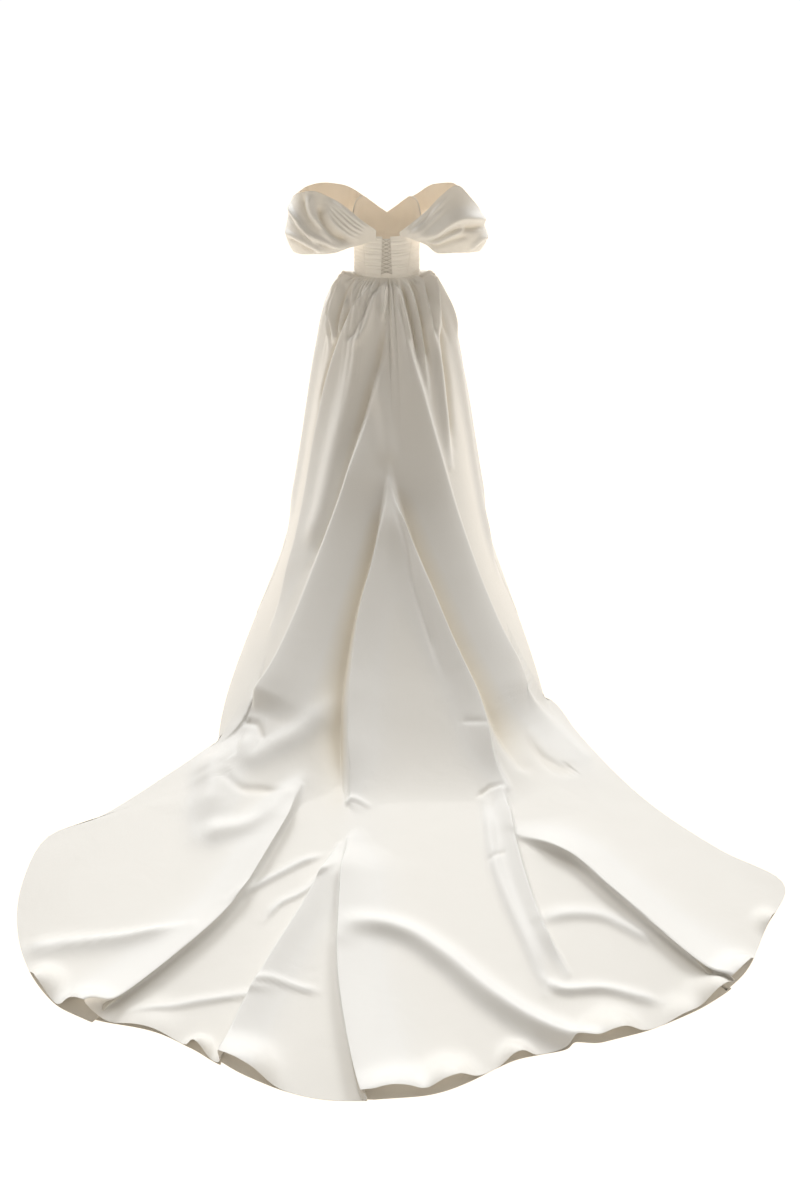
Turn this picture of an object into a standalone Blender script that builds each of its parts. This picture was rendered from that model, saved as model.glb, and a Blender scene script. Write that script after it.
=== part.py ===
"""Evening gown standing empty: an off-the-shoulder laced bodice, two draped sleeves, and a full
skirt drawn back into a long train that lies on the floor. Sizes are in metres. The origin is the
middle of the waist, the wearer faces +Y, the train trails to -Y and +Z is up."""

import math

import bmesh
import bpy
import numpy as np

NAME = "evening_gown"
FLOOR = -1.12
WALL = 0.002
SEAM_GAP = 0.0003
EDGE_ROOM = 0.0003
LYING = FLOOR + 0.0016
SIDE_SEAM = 0.5
LATTICE_AROUND = 641
LATTICE_RUN = 181

IVORY = (0.82, 0.80, 0.75, 1.0)
NUDE = (0.60, 0.46, 0.33, 1.0)
CORD_COLOUR = (0.62, 0.60, 0.56, 1.0)

# The hanging skirt, a row for each level ring.
# name, height, half_width, front, back, square, flare
SECTIONS = (
    ("waist", -0.0022, 0.1225, 0.088, 0.088, 2.0, 0.00),
    ("gathers", -0.0170, 0.1600, 0.108, 0.100, 2.0, 0.00),
    ("hip", -0.1000, 0.2180, 0.160, 0.165, 2.1, 0.00),
    ("seat", -0.2600, 0.2660, 0.215, 0.270, 2.2, 0.00),
    ("thigh", -0.5000, 0.3160, 0.280, 0.480, 2.5, 0.00),
    ("knee", -0.6800, 0.3480, 0.325, 0.690, 2.8, 0.00),
    ("calf", -0.8600, 0.3840, 0.370, 0.990, 3.3, 0.02),
    ("shin", -1.0000, 0.4140, 0.405, 1.270, 4.2, 0.12),
    ("floor", -1.1150, 0.4450, 0.440, 1.620, 6.0, 0.32),
)

# The hem of the train from the side to the middle of the back, on each side.
# x, y
HEM_LEFT = (
    (-0.540, -1.412),
    (-0.590, -1.470),
    (-0.661, -1.551),
    (-0.735, -1.636),
    (-0.805, -1.706),
    (-0.925, -1.775),
    (-0.940, -1.930),
    (-0.870, -2.130),
    (-0.740, -2.270),
    (-0.470, -2.345),
    (-0.290, -2.430),
    (-0.120, -2.480),
    (0.014, -2.484),
)
HEM_RIGHT = (
    (0.575, -1.220),
    (0.610, -1.330),
    (0.665, -1.460),
    (0.770, -1.650),
    (0.930, -1.830),
    (1.055, -1.935),
    (0.960, -2.070),
    (0.850, -2.210),
    (0.640, -2.320),
    (0.470, -2.367),
    (0.300, -2.400),
    (0.140, -2.467),
    (0.014, -2.484),
)

# How the lines that run down the skirt share out the hem of the train on each side.
# around, share of the hem counted from the side
SHARES_LEFT = (
    (0.000, 1.000),
    (0.060, 0.797),
    (0.120, 0.580),
    (0.150, 0.440),
    (0.190, 0.200),
    (0.235, 0.000),
)
SHARES_RIGHT = (
    (0.000, 1.000),
    (0.120, 0.620),
    (0.170, 0.430),
    (0.230, 0.180),
    (0.280, 0.060),
    (0.325, 0.000),
)

# Folds of the skirt. Each lies along points given as around and run: around is the share of the
# way from the centre back (0) to the centre front (1), left negative; run is the share of the way
# from the waist (0) to the hem (1).
# name, height, left_width, right_width, then around and run at each point from start to end
FOLDS = (
    ("left_outer_ridge", 0.025, 0.022, 0.055,
     -0.062, 0.017, -0.130, 0.028, -0.173, 0.044, -0.212, 0.106, -0.249, 0.203, -0.261, 0.331,
     -0.261, 0.414, -0.252, 0.553, -0.260, 0.653, -0.257, 0.770),
    ("left_soft_ridge", 0.022, 0.045, 0.045,
     -0.090, 0.030, -0.112, 0.069, -0.139, 0.150, -0.166, 0.272, -0.172, 0.361, -0.190, 0.478),
    ("left_soft_valley", -0.014, 0.022, 0.022,
     -0.210, 0.055, -0.248, 0.115, -0.282, 0.200, -0.296, 0.330, -0.300, 0.450),
    ("left_deep_valley", -0.022, 0.030, 0.022,
     0.004, 0.025, -0.016, 0.078, -0.036, 0.114, -0.064, 0.153, -0.084, 0.190, -0.104, 0.240,
     -0.120, 0.300, -0.144, 0.370, -0.164, 0.440),
    ("left_main_ridge", 0.038, 0.080, 0.090,
     -0.060, 0.175, -0.078, 0.225, -0.089, 0.272, -0.116, 0.353, -0.137, 0.431, -0.152, 0.510,
     -0.169, 0.614, -0.186, 0.700, -0.202, 0.785, -0.211, 0.835),
    ("left_main_foot", 0.030, 0.060, 0.070,
     -0.222, 0.910, -0.205, 0.900, -0.186, 0.853, -0.158, 0.792, -0.131, 0.800),
    ("cone_left_valley", -0.025, 0.055, 0.022,
     -0.002, 0.270, -0.024, 0.353, -0.038, 0.403, -0.054, 0.456, -0.060, 0.508, -0.060, 0.610,
     -0.044, 0.710),
    ("cone_left_edge", 0.022, 0.022, 0.060,
     0.006, 0.285, -0.011, 0.353, -0.024, 0.403, -0.040, 0.456, -0.045, 0.508, -0.044, 0.610,
     -0.032, 0.710),
    ("cone_right_edge", 0.029, 0.050, 0.022,
     0.009, 0.282, 0.054, 0.386, 0.073, 0.425, 0.088, 0.464, 0.104, 0.515, 0.130, 0.611, 0.135,
     0.717),
    ("cone_right_valley", -0.024, 0.022, 0.070,
     0.018, 0.255, 0.070, 0.380, 0.092, 0.425, 0.108, 0.464, 0.124, 0.515, 0.148, 0.600, 0.170,
     0.716),
    ("highlight_ridge", 0.015, 0.030, 0.030,
     -0.032, 0.115, -0.030, 0.155, -0.008, 0.190, 0.003, 0.225, 0.020, 0.265),
    ("right_main_ridge", 0.042, 0.090, 0.055,
     0.030, 0.019, 0.058, 0.036, 0.093, 0.114, 0.131, 0.217, 0.164, 0.344, 0.190, 0.483, 0.206,
     0.590, 0.220, 0.690, 0.242, 0.783, 0.268, 0.900, 0.280, 0.955, 0.268, 0.975, 0.250, 0.972,
     0.232, 0.960),
    ("right_pleat_1", 0.014, 0.014, 0.014,
     0.195, 0.010, 0.180, 0.050, 0.175, 0.090, 0.172, 0.130, 0.170, 0.175),
    ("right_pleat_2", 0.014, 0.014, 0.014,
     0.340, 0.010, 0.260, 0.040, 0.240, 0.065, 0.228, 0.090, 0.213, 0.110),
    ("right_pleat_3", 0.024, 0.022, 0.022,
     0.480, 0.010, 0.282, 0.105, 0.250, 0.185, 0.228, 0.260, 0.218, 0.340),
    ("right_pleat_valley", -0.018, 0.015, 0.020,
     0.330, 0.115, 0.297, 0.170, 0.290, 0.235, 0.268, 0.285, 0.250, 0.335),
    ("left_pleat_1", 0.014, 0.014, 0.014,
     -0.453, 0.010, -0.343, 0.050, -0.353, 0.095, -0.350, 0.140, -0.325, 0.175),
    ("left_pleat_2", 0.014, 0.014, 0.014,
     -0.335, 0.035, -0.333, 0.075, -0.328, 0.110, -0.307, 0.135, -0.275, 0.155),
    ("left_pleat_3", 0.014, 0.014, 0.014,
     -0.275, 0.060, -0.258, 0.075, -0.260, 0.095, -0.262, 0.115, -0.267, 0.135),
    ("left_swag", 0.022, 0.030, 0.030,
     -0.198, 0.889, -0.180, 0.775, -0.129, 0.656, -0.090, 0.620, -0.055, 0.575),
    ("left_foot_ridge", 0.028, 0.030, 0.030,
     -0.136, 0.807, -0.123, 0.781, -0.110, 0.760, -0.105, 0.730, -0.092, 0.705),
    ("left_roll", 0.046, 0.060, 0.022,
     -0.092, 0.710, -0.085, 0.805, -0.085, 0.880, -0.095, 0.935, -0.107, 1.000),
    ("left_side_fold", 0.030, 0.035, 0.022,
     -0.140, 0.995, -0.132, 0.965, -0.122, 0.935, -0.113, 0.910, -0.100, 0.895),
    ("triangle_left", 0.040, 0.022, 0.055,
     -0.034, 0.765, -0.043, 0.840, -0.051, 0.905, -0.054, 0.960, -0.054, 1.000),
    ("centre_left_edge", 0.050, 0.022, 0.080,
     -0.027, 0.755, -0.022, 0.840, -0.018, 0.900, -0.010, 0.955, -0.003, 1.000),
    ("centre_ridge", 0.040, 0.035, 0.040,
     -0.020, 0.860, 0.012, 0.865, 0.039, 0.910, 0.056, 0.950, 0.071, 1.000),
    ("strip_left", 0.020, 0.022, 0.022,
     0.103, 0.724, 0.077, 0.795, 0.069, 0.855, 0.067, 0.905, 0.064, 0.950),
    ("strip_right", 0.036, 0.030, 0.022,
     0.128, 0.715, 0.094, 0.790, 0.082, 0.845, 0.076, 0.895, 0.076, 0.935),
    ("right_roll", 0.046, 0.022, 0.060,
     0.102, 0.775, 0.120, 0.815, 0.121, 0.870, 0.121, 0.925, 0.124, 1.000),
    ("right_flat_fold", 0.018, 0.020, 0.030,
     0.076, 0.880, 0.093, 0.880, 0.105, 0.890, 0.111, 0.910, 0.115, 0.935),
)

# Lines that the columns of the skirt backs follow, so that the folds stay crisp. A row gives the
# around of one line at the runs of GUIDE_RUNS.
GUIDE_RUNS = (0.0, 0.14, 0.27, 0.40, 0.50, 0.60, 0.70, 0.76, 0.84, 0.90, 0.95, 1.0)
GUIDES_LEFT = (
    ("seam", 0.0, 0.0, 0.0, 0.0, 0.0, 0.0, 0.0, 0.0, 0.0, 0.0, 0.0, 0.0),
    ("centre_edge", .030, .010, .011, .024, .044, .046, .034, .028, .022, .018, .013, .009),
    ("triangle", .060, .020, .022, .040, .060, .062, .050, .042, .046, .051, .054, .054),
    ("roll", .100, .034, .056, .090, .108, .110, .097, .088, .085, .089, .098, .107),
    ("main", .140, .050, .088, .127, .150, .167, .186, .198, .214, .224, .230, .236),
    ("outer", .200, .225, .258, .261, .256, .257, .260, .262, .268, .275, .280, .285),
    ("side", 0.5, 0.5, 0.5, 0.5, 0.5, 0.5, 0.5, 0.5, 0.5, 0.5, 0.5, 0.5),
)
GUIDES_RIGHT = (
    ("seam", 0.0, 0.0, 0.0, 0.0, 0.0, 0.0, 0.0, 0.0, 0.0, 0.0, 0.0, 0.0),
    ("strip_left", .030, .020, .018, .042, .074, .102, .112, .089, .071, .067, .064, .061),
    ("strip_right", .050, .034, .032, .062, .098, .127, .135, .107, .083, .076, .076, .074),
    ("roll", .070, .050, .050, .078, .116, .144, .155, .126, .120, .120, .122, .124),
    ("main", .100, .105, .145, .176, .193, .208, .222, .236, .256, .270, .280, .290),
    ("side", 0.5, 0.5, 0.5, 0.5, 0.5, 0.5, 0.5, 0.5, 0.5, 0.5, 0.5, 0.5),
)

# Pleats that run straight down the front and the sides, from the waist.
# around, ends_at, height, width
PLEATS = (
    (-0.950, 0.62, 0.016, 0.030),
    (-0.850, 0.80, 0.022, 0.040),
    (-0.740, 0.55, 0.016, 0.030),
    (-0.640, 0.90, 0.024, 0.045),
    (-0.560, 0.45, 0.014, 0.022),
    (-0.450, 0.70, 0.020, 0.040),
    (0.430, 0.80, 0.022, 0.040),
    (0.540, 0.50, 0.014, 0.022),
    (0.620, 0.85, 0.024, 0.045),
    (0.720, 0.55, 0.016, 0.030),
    (0.820, 0.85, 0.022, 0.045),
    (0.920, 0.60, 0.016, 0.030),
)

# Places where the hem of the train turns up and curls.
# around, half_width, lift
CURLS = (
    (-0.150, 0.070, 0.035),
    (-0.050, 0.050, 0.030),
    (0.026, 0.060, 0.032),
    (0.080, 0.050, 0.022),
    (0.130, 0.070, 0.035),
)

# The bodice, a row for each level ring.
# name, height, half_width, front, back
TORSO = (
    ("waist", 0.000, 0.1225, 0.088, 0.088),
    ("ribs", 0.040, 0.1215, 0.093, 0.089),
    ("under_bust", 0.085, 0.1208, 0.106, 0.092),
    ("bust", 0.130, 0.1265, 0.124, 0.097),
    ("armhole", 0.180, 0.1370, 0.128, 0.101),
    ("neckline", 0.240, 0.1460, 0.118, 0.103),
    ("top", 0.300, 0.1500, 0.106, 0.104),
)

# The top edge of the bodice. The angle runs from the centre back (0) to the centre front (180).
# angle, height
TOP_EDGE = (
    (0.0, 0.142),
    (35.0, 0.144),
    (75.0, 0.140),
    (100.0, 0.150),
    (116.0, 0.200),
    (132.0, 0.244),
    (142.0, 0.252),
    (152.0, 0.239),
    (166.0, 0.214),
    (180.0, 0.191),
)

# Panels of the bodice with the angles of their edges at the waist and at the top.
# name, from_waist, from_top, to_waist, to_top, columns
BODICE_PANELS = (
    ("bodice_back_left", -40.0, -44.0, -8.5, -6.0, 5),
    ("bodice_side_left", -104.0, -104.0, -40.0, -44.0, 8),
    ("bodice_back_right", 8.5, 6.0, 39.0, 48.0, 5),
    ("bodice_side_right", 39.0, 48.0, 104.0, 104.0, 8),
    ("bodice_front", 104.0, 104.0, 256.0, 256.0, 20),
)

# The sleeves, a row for each upright section from the back of the bodice round to its front.
# name, x, y, top, bottom, puff
SLEEVE_LEFT = (
    ("back_seam", -0.036, -0.1030, 0.177, 0.130, 0.002),
    ("shoulder_blade", -0.090, -0.0900, 0.203, 0.114, 0.008),
    ("back_arm", -0.145, -0.0820, 0.240, 0.104, 0.016),
    ("back_drape", -0.200, -0.0880, 0.272, 0.088, 0.024),
    ("back_outer", -0.260, -0.0880, 0.292, 0.084, 0.026),
    ("outer_back", -0.310, -0.0680, 0.282, 0.080, 0.026),
    ("outer", -0.338, -0.0200, 0.262, 0.080, 0.026),
    ("outer_front", -0.330, 0.0350, 0.268, 0.086, 0.024),
    ("front_outer", -0.290, 0.0800, 0.288, 0.096, 0.022),
    ("front_drape", -0.235, 0.1000, 0.296, 0.108, 0.018),
    ("front_arm", -0.175, 0.1080, 0.290, 0.126, 0.012),
    ("cup", -0.120, 0.1180, 0.272, 0.146, 0.008),
    ("front_seam", -0.072, 0.1320, 0.243, 0.168, 0.002),
)
SLEEVE_RIGHT = (
    ("back_seam", 0.048, -0.1030, 0.178, 0.144, 0.002),
    ("shoulder_blade", 0.092, -0.0900, 0.193, 0.133, 0.008),
    ("back_arm", 0.145, -0.0820, 0.226, 0.113, 0.016),
    ("back_drape", 0.195, -0.0880, 0.276, 0.086, 0.024),
    ("back_outer", 0.250, -0.0880, 0.310, 0.088, 0.026),
    ("outer_back", 0.302, -0.0680, 0.268, 0.086, 0.026),
    ("outer", 0.338, -0.0200, 0.222, 0.082, 0.026),
    ("outer_front", 0.336, 0.0350, 0.240, 0.086, 0.024),
    ("front_outer", 0.300, 0.0800, 0.276, 0.096, 0.022),
    ("front_drape", 0.240, 0.1000, 0.296, 0.108, 0.018),
    ("front_arm", 0.175, 0.1080, 0.290, 0.126, 0.012),
    ("cup", 0.120, 0.1180, 0.262, 0.146, 0.008),
    ("front_seam", 0.072, 0.1320, 0.240, 0.168, 0.002),
)

# Folds of the sleeves along four points, given as along (0 at the back seam, 1 at the front seam)
# and down (0 at the top edge, 1 at the bottom edge).
# name, height, upper_width, lower_width, along and down at the start, at 1/3, 2/3 and the end
SLEEVE_FOLDS_LEFT = (
    ("inner_roll", 0.012, 0.016, 0.014, 0.335, 0.12, 0.315, 0.45, 0.250, 0.68, 0.120, 0.92),
    ("soft_band", 0.012, 0.014, 0.014, 0.410, 0.04, 0.390, 0.40, 0.310, 0.66, 0.170, 0.92),
    ("bright_edge", 0.014, 0.014, 0.010, 0.520, 0.22, 0.440, 0.52, 0.330, 0.76, 0.200, 0.94),
    ("lower_roll", 0.012, 0.014, 0.010, 0.560, 0.62, 0.480, 0.66, 0.400, 0.83, 0.290, 0.96),
    ("front_roll", 0.012, 0.014, 0.014, 0.560, 0.22, 0.680, 0.45, 0.820, 0.62, 0.940, 0.70),
    ("front_lower", 0.010, 0.014, 0.014, 0.600, 0.70, 0.700, 0.78, 0.800, 0.82, 0.900, 0.86),
)
SLEEVE_FOLDS_RIGHT = (
    ("upper_roll", 0.016, 0.022, 0.010, 0.520, 0.26, 0.400, 0.52, 0.280, 0.66, 0.080, 0.82),
    ("middle_roll", 0.012, 0.012, 0.012, 0.400, 0.62, 0.330, 0.72, 0.260, 0.80, 0.160, 0.88),
    ("outer_roll", 0.012, 0.014, 0.012, 0.520, 0.68, 0.470, 0.78, 0.440, 0.88, 0.400, 0.96),
    ("front_roll", 0.012, 0.014, 0.014, 0.560, 0.22, 0.680, 0.45, 0.820, 0.62, 0.940, 0.70),
    ("front_lower", 0.010, 0.014, 0.014, 0.600, 0.70, 0.700, 0.78, 0.800, 0.82, 0.900, 0.86),
)

# The two cords that cross over the gap at the centre back.
# name, first_side, rise_where_they_cross
LACES = (
    ("lace_over", -1.0, 0.0025),
    ("lace_under", 1.0, 0.0),
)
LACE_RADIUS = 0.0012
LACE_TURNS = 9
LACE_TOP = 0.134
LACE_BOTTOM = 0.012
LACE_HALF_TOP = 0.0135
LACE_HALF_BOTTOM = 0.0210
LACE_OUT = 0.0025
SLEEVE_OUT = 0.0029
BODICE_FOOT = -0.0009
LINING_WALL = 0.0012
LINING_GAP = 0.0005


def smooth_curve(points, count):
    """Points at even distances along a smooth curve through the given points."""
    points = np.asarray(points, float)
    steps = np.linalg.norm(np.diff(points, axis=0), axis=1) + 1e-9
    reach = np.concatenate(([0.0], np.cumsum(steps)))
    slopes = np.zeros_like(points)
    slopes[0] = (points[1] - points[0]) / steps[0]
    slopes[-1] = (points[-1] - points[-2]) / steps[-1]
    for i in range(1, len(points) - 1):
        before = (points[i] - points[i - 1]) / steps[i - 1]
        after = (points[i + 1] - points[i]) / steps[i]
        share = steps[i - 1] / (steps[i - 1] + steps[i])
        slopes[i] = before * (1.0 - share) + after * share
    at = np.linspace(0.0, reach[-1], count)
    k = np.clip(np.searchsorted(reach, at, side="right") - 1, 0, len(points) - 2)
    h = steps[k][:, None]
    u = ((at - reach[k]) / steps[k])[:, None]
    return (
        (2 * u**3 - 3 * u**2 + 1) * points[k]
        + (u**3 - 2 * u**2 + u) * h * slopes[k]
        + (3 * u**2 - 2 * u**3) * points[k + 1]
        + (u**3 - u**2) * h * slopes[k + 1]
    )


def even_shares(points, count):
    """The same line with its points moved to even shares of its length."""
    steps = np.linalg.norm(np.diff(points, axis=0), axis=1)
    reach = np.concatenate(([0.0], np.cumsum(steps)))
    at = np.linspace(0.0, reach[-1], count)
    return np.stack([np.interp(at, reach, points[:, i]) for i in range(points.shape[1])], axis=1)


def smooth_value(at, known, values):
    """A smooth value between rows of a table."""
    known = np.asarray(known, float)
    values = np.asarray(values, float)
    steps = np.diff(known)
    rates = np.diff(values) / steps
    slopes = np.zeros_like(values)
    slopes[0] = rates[0]
    slopes[-1] = rates[-1]
    same = rates[:-1] * rates[1:] > 0.0
    inner = np.zeros(len(values) - 2)
    inner[same] = 2.0 * rates[:-1][same] * rates[1:][same] / (rates[:-1][same] + rates[1:][same])
    slopes[1:-1] = inner
    at = np.clip(np.asarray(at, float), known[0], known[-1])
    k = np.clip(np.searchsorted(known, at, side="right") - 1, 0, len(known) - 2)
    h = steps[k]
    u = (at - known[k]) / h
    return (
        (2 * u**3 - 3 * u**2 + 1) * values[k]
        + (u**3 - 2 * u**2 + u) * h * slopes[k]
        + (3 * u**2 - 2 * u**3) * values[k + 1]
        + (u**3 - u**2) * h * slopes[k + 1]
    )


def ease(value):
    """A soft step from 0 to 1."""
    value = np.clip(value, 0.0, 1.0)
    return value * value * (3.0 - 2.0 * value)


def half_ring(row, count):
    """One side of a level ring of the skirt, from the centre back to the centre front."""
    half_width, front, back, square, flare = row[2:]
    angle = np.linspace(0.0, math.pi, 2001)
    rear = np.cos(angle) > 0.0
    power = np.where(rear, 2.0 / square, 1.0)
    depth = np.where(rear, back, front)
    x = half_width * np.abs(np.sin(angle)) ** power
    y = -depth * np.sign(np.cos(angle)) * np.abs(np.cos(angle)) ** power
    x = x * (1.0 + flare * np.clip(-y / back, 0.0, 1.0))
    return even_shares(np.stack([x, y], axis=1), count)


def skirt_lattice():
    """Base points of the skirt and train before its folds, by around and run."""
    side_count = LATTICE_AROUND // 2 + 1
    around = np.linspace(0.0, 1.0, side_count) ** 1.5
    fine = 2001
    rings = [half_ring(row, fine) for row in SECTIONS]
    at = around * (fine - 1)
    low = np.clip(at.astype(int), 0, fine - 2)
    part = (at - low)[:, None]
    rings = [ring[low] * (1.0 - part) + ring[low + 1] * part for ring in rings]
    halves = []
    for side, hem_table, hem_shares in ((-1.0, HEM_LEFT, SHARES_LEFT), (1.0, HEM_RIGHT, SHARES_RIGHT)):
        hem_start = hem_shares[-1][0]
        mirrored = [ring * np.array([side, 1.0]) for ring in rings]
        floor_ring = mirrored[-1]
        start = np.array([np.interp(hem_start, around, floor_ring[:, i]) for i in range(2)])
        hem = smooth_curve(np.vstack([start[None, :], np.asarray(hem_table)]), 1200)
        hem = even_shares(hem, 1200)
        lines = []
        for i, share in enumerate(around):
            points = [(ring[i][0], ring[i][1], row[1]) for ring, row in zip(mirrored, SECTIONS)]
            if share < hem_start:
                reached = smooth_value(share, [row[0] for row in hem_shares],
     [row[1] for row in hem_shares])
                end = hem[int(round(float(reached) * 1199))]
                reach = np.linalg.norm(end - floor_ring[i])
                if reach > 0.02:
                    for step in (0.33, 0.66, 1.0):
                        flat = floor_ring[i] * (1.0 - step) + end * step
                        points.append((flat[0], flat[1], LYING))
            lines.append(even_shares(smooth_curve(points, 400), LATTICE_RUN))
        halves.append(np.asarray(lines))
    middle = 0.5 * (halves[0][0] + halves[1][0])
    halves[0][0] = middle
    halves[1][0] = middle
    lattice = np.concatenate([halves[0][::-1], halves[1][1:]], axis=0)
    places = np.concatenate([-around[::-1], around[1:]])
    return places, lattice


PLACES, LATTICE = skirt_lattice()


def base_point(around, run):
    """Points of the skirt before its folds, at arrays of around and run."""
    around = np.clip(around, -1.0, 1.0)
    i = np.clip(np.searchsorted(PLACES, around, side="right") - 1, 0, len(PLACES) - 2)
    fi = ((around - PLACES[i]) / (PLACES[i + 1] - PLACES[i]))[..., None]
    at = np.clip(run, 0.0, 1.0) * (LATTICE_RUN - 1)
    j = np.clip(at.astype(int), 0, LATTICE_RUN - 2)
    fj = (at - j)[..., None]
    near = LATTICE[i, j] * (1.0 - fj) + LATTICE[i, j + 1] * fj
    far = LATTICE[i + 1, j] * (1.0 - fj) + LATTICE[i + 1, j + 1] * fj
    return near * (1.0 - fi) + far * fi


def base_normal(around, run):
    """Outward directions of the skirt before its folds."""
    wide = 0.004
    long = 0.008
    across = base_point(around + wide, run) - base_point(around - wide, run)
    down = base_point(around, np.minimum(run + long, 1.0)) - base_point(around, np.maximum(run - long, 0.0))
    normal = np.cross(down, across)
    return normal / (np.linalg.norm(normal, axis=-1, keepdims=True) + 1e-12)


def line_relief(points, normals, line, height, left_width, right_width):
    """Height of one fold at the points: full along the line and soft to each side of it."""
    flat = points.reshape(-1, 3)
    up = normals.reshape(-1, 3)
    reach = 3.0 * max(left_width, right_width)
    near = np.all((flat > line.min(axis=0) - reach) & (flat < line.max(axis=0) + reach), axis=1)
    result = np.zeros(len(flat))
    chosen = flat[near]
    if not len(chosen):
        return result.reshape(points.shape[:-1])
    starts = line[:-1]
    legs = line[1:] - starts
    lengths = np.einsum("ij,ij->i", legs, legs) + 1e-12
    best = np.full(len(chosen), 1e9)
    side = np.zeros(len(chosen))
    share = np.zeros(len(chosen))
    total = len(legs)
    for k in range(total):
        offset = chosen - starts[k]
        along = np.clip(offset @ legs[k] / lengths[k], 0.0, 1.0)
        gap = offset - along[:, None] * legs[k]
        distance = np.einsum("ij,ij->i", gap, gap)
        closer = distance < best
        turn = np.einsum("ij,ij->i", np.cross(np.broadcast_to(legs[k], gap.shape), gap), up[near])
        turn = turn / np.sqrt(lengths[k] * distance + 1e-12)
        best = np.where(closer, distance, best)
        side = np.where(closer, turn, side)
        share = np.where(closer, (k + along) / total, share)
    distance = np.sqrt(best)
    right = ease(0.5 + 0.5 * side)
    shape = np.exp(-((distance / left_width) ** 2)) * (1.0 - right)
    shape = shape + np.exp(-((distance / right_width) ** 2)) * right
    ends = ease(share / 0.18) * ease((1.0 - share) / 0.18) * 0.75 + 0.25
    result[near] = height * shape * ends
    return result.reshape(points.shape[:-1])


def fold_line(row, count=33):
    """The line of a fold over the skirt before its folds, with its bends rounded."""
    nodes = np.asarray(row[4:], float).reshape(-1, 2)
    curve = smooth_curve(nodes, count)
    line = base_point(curve[:, 0], curve[:, 1])
    for _ in range(6):
        line[1:-1] = 0.25 * line[:-2] + 0.5 * line[1:-1] + 0.25 * line[2:]
    return line


def skirt_points(around, run, folds=FOLDS, pleats=PLEATS):
    """Points of the skirt with its folds, at arrays of around and run."""
    base = base_point(around, run)
    normal = base_normal(around, run)
    relief = np.zeros(base.shape[:-1])
    for row in folds:
        relief += line_relief(base, normal, fold_line(row), row[1], row[2], row[3])
    for place, ends_at, height, width in pleats:
        nodes = ("pleat", height, width, width, place, 0.0, place, ends_at * 0.5, place, ends_at)
        relief += line_relief(base, normal, fold_line(nodes), height, width, width)
    relief = relief * ease(run / 0.025)
    points = base + normal * relief[..., None]
    for place, half_width, lift in CURLS:
        centre = base_point(np.array([place]), np.array([1.0]))[0]
        away = np.linalg.norm(base - centre, axis=-1)
        shape = np.exp(-((away / half_width) ** 2))
        points[..., 2] += lift * shape
    points[..., 2] = np.maximum(points[..., 2], LYING)
    return points


def torso_points(angle, height, outside=0.0):
    """Points of the bodice wall at arrays of angle and height."""
    heights = [row[1] for row in TORSO]
    half_width = smooth_value(height, heights, [row[2] for row in TORSO])
    front = smooth_value(height, heights, [row[3] for row in TORSO])
    back = smooth_value(height, heights, [row[4] for row in TORSO])
    turn = np.radians(angle)
    depth = np.where(np.cos(turn) > 0.0, back, front)
    away = np.abs(np.abs((angle % 360.0) - 180.0) - 36.0)
    cup = 0.010 * np.exp(-((away / 24.0) ** 2)) * np.exp(-(((height - 0.15) / 0.055) ** 2))
    x = (half_width + outside + cup) * np.sin(turn)
    y = -(depth + outside + cup) * np.cos(turn)
    return np.stack([x, y, np.asarray(height) + 0.0 * x], axis=-1)


def torso_depth(x, height, in_front):
    """Where a sleeve lies against the bodice at x and height, and whether the bodice is there."""
    turn = np.arcsin(np.clip(x / 0.15, -0.9, 0.9))
    for _ in range(6):
        angle = 180.0 - np.degrees(turn) if in_front else np.degrees(turn)
        places = torso_points(angle, height, SLEEVE_OUT)
        half_width = places[..., 0] / np.where(np.abs(np.sin(turn)) < 1e-6, 1e-6, np.sin(turn))
        turn = np.arcsin(np.clip(x / half_width, -0.97, 0.97))
    return places[..., 1], np.abs(x) < 0.97 * half_width


def top_edge(angle):
    """Height of the top edge of the bodice."""
    turned = np.abs(((np.asarray(angle, float) + 180.0) % 360.0) - 180.0)
    return smooth_value(turned, [row[0] for row in TOP_EDGE], [row[1] for row in TOP_EDGE])


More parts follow.
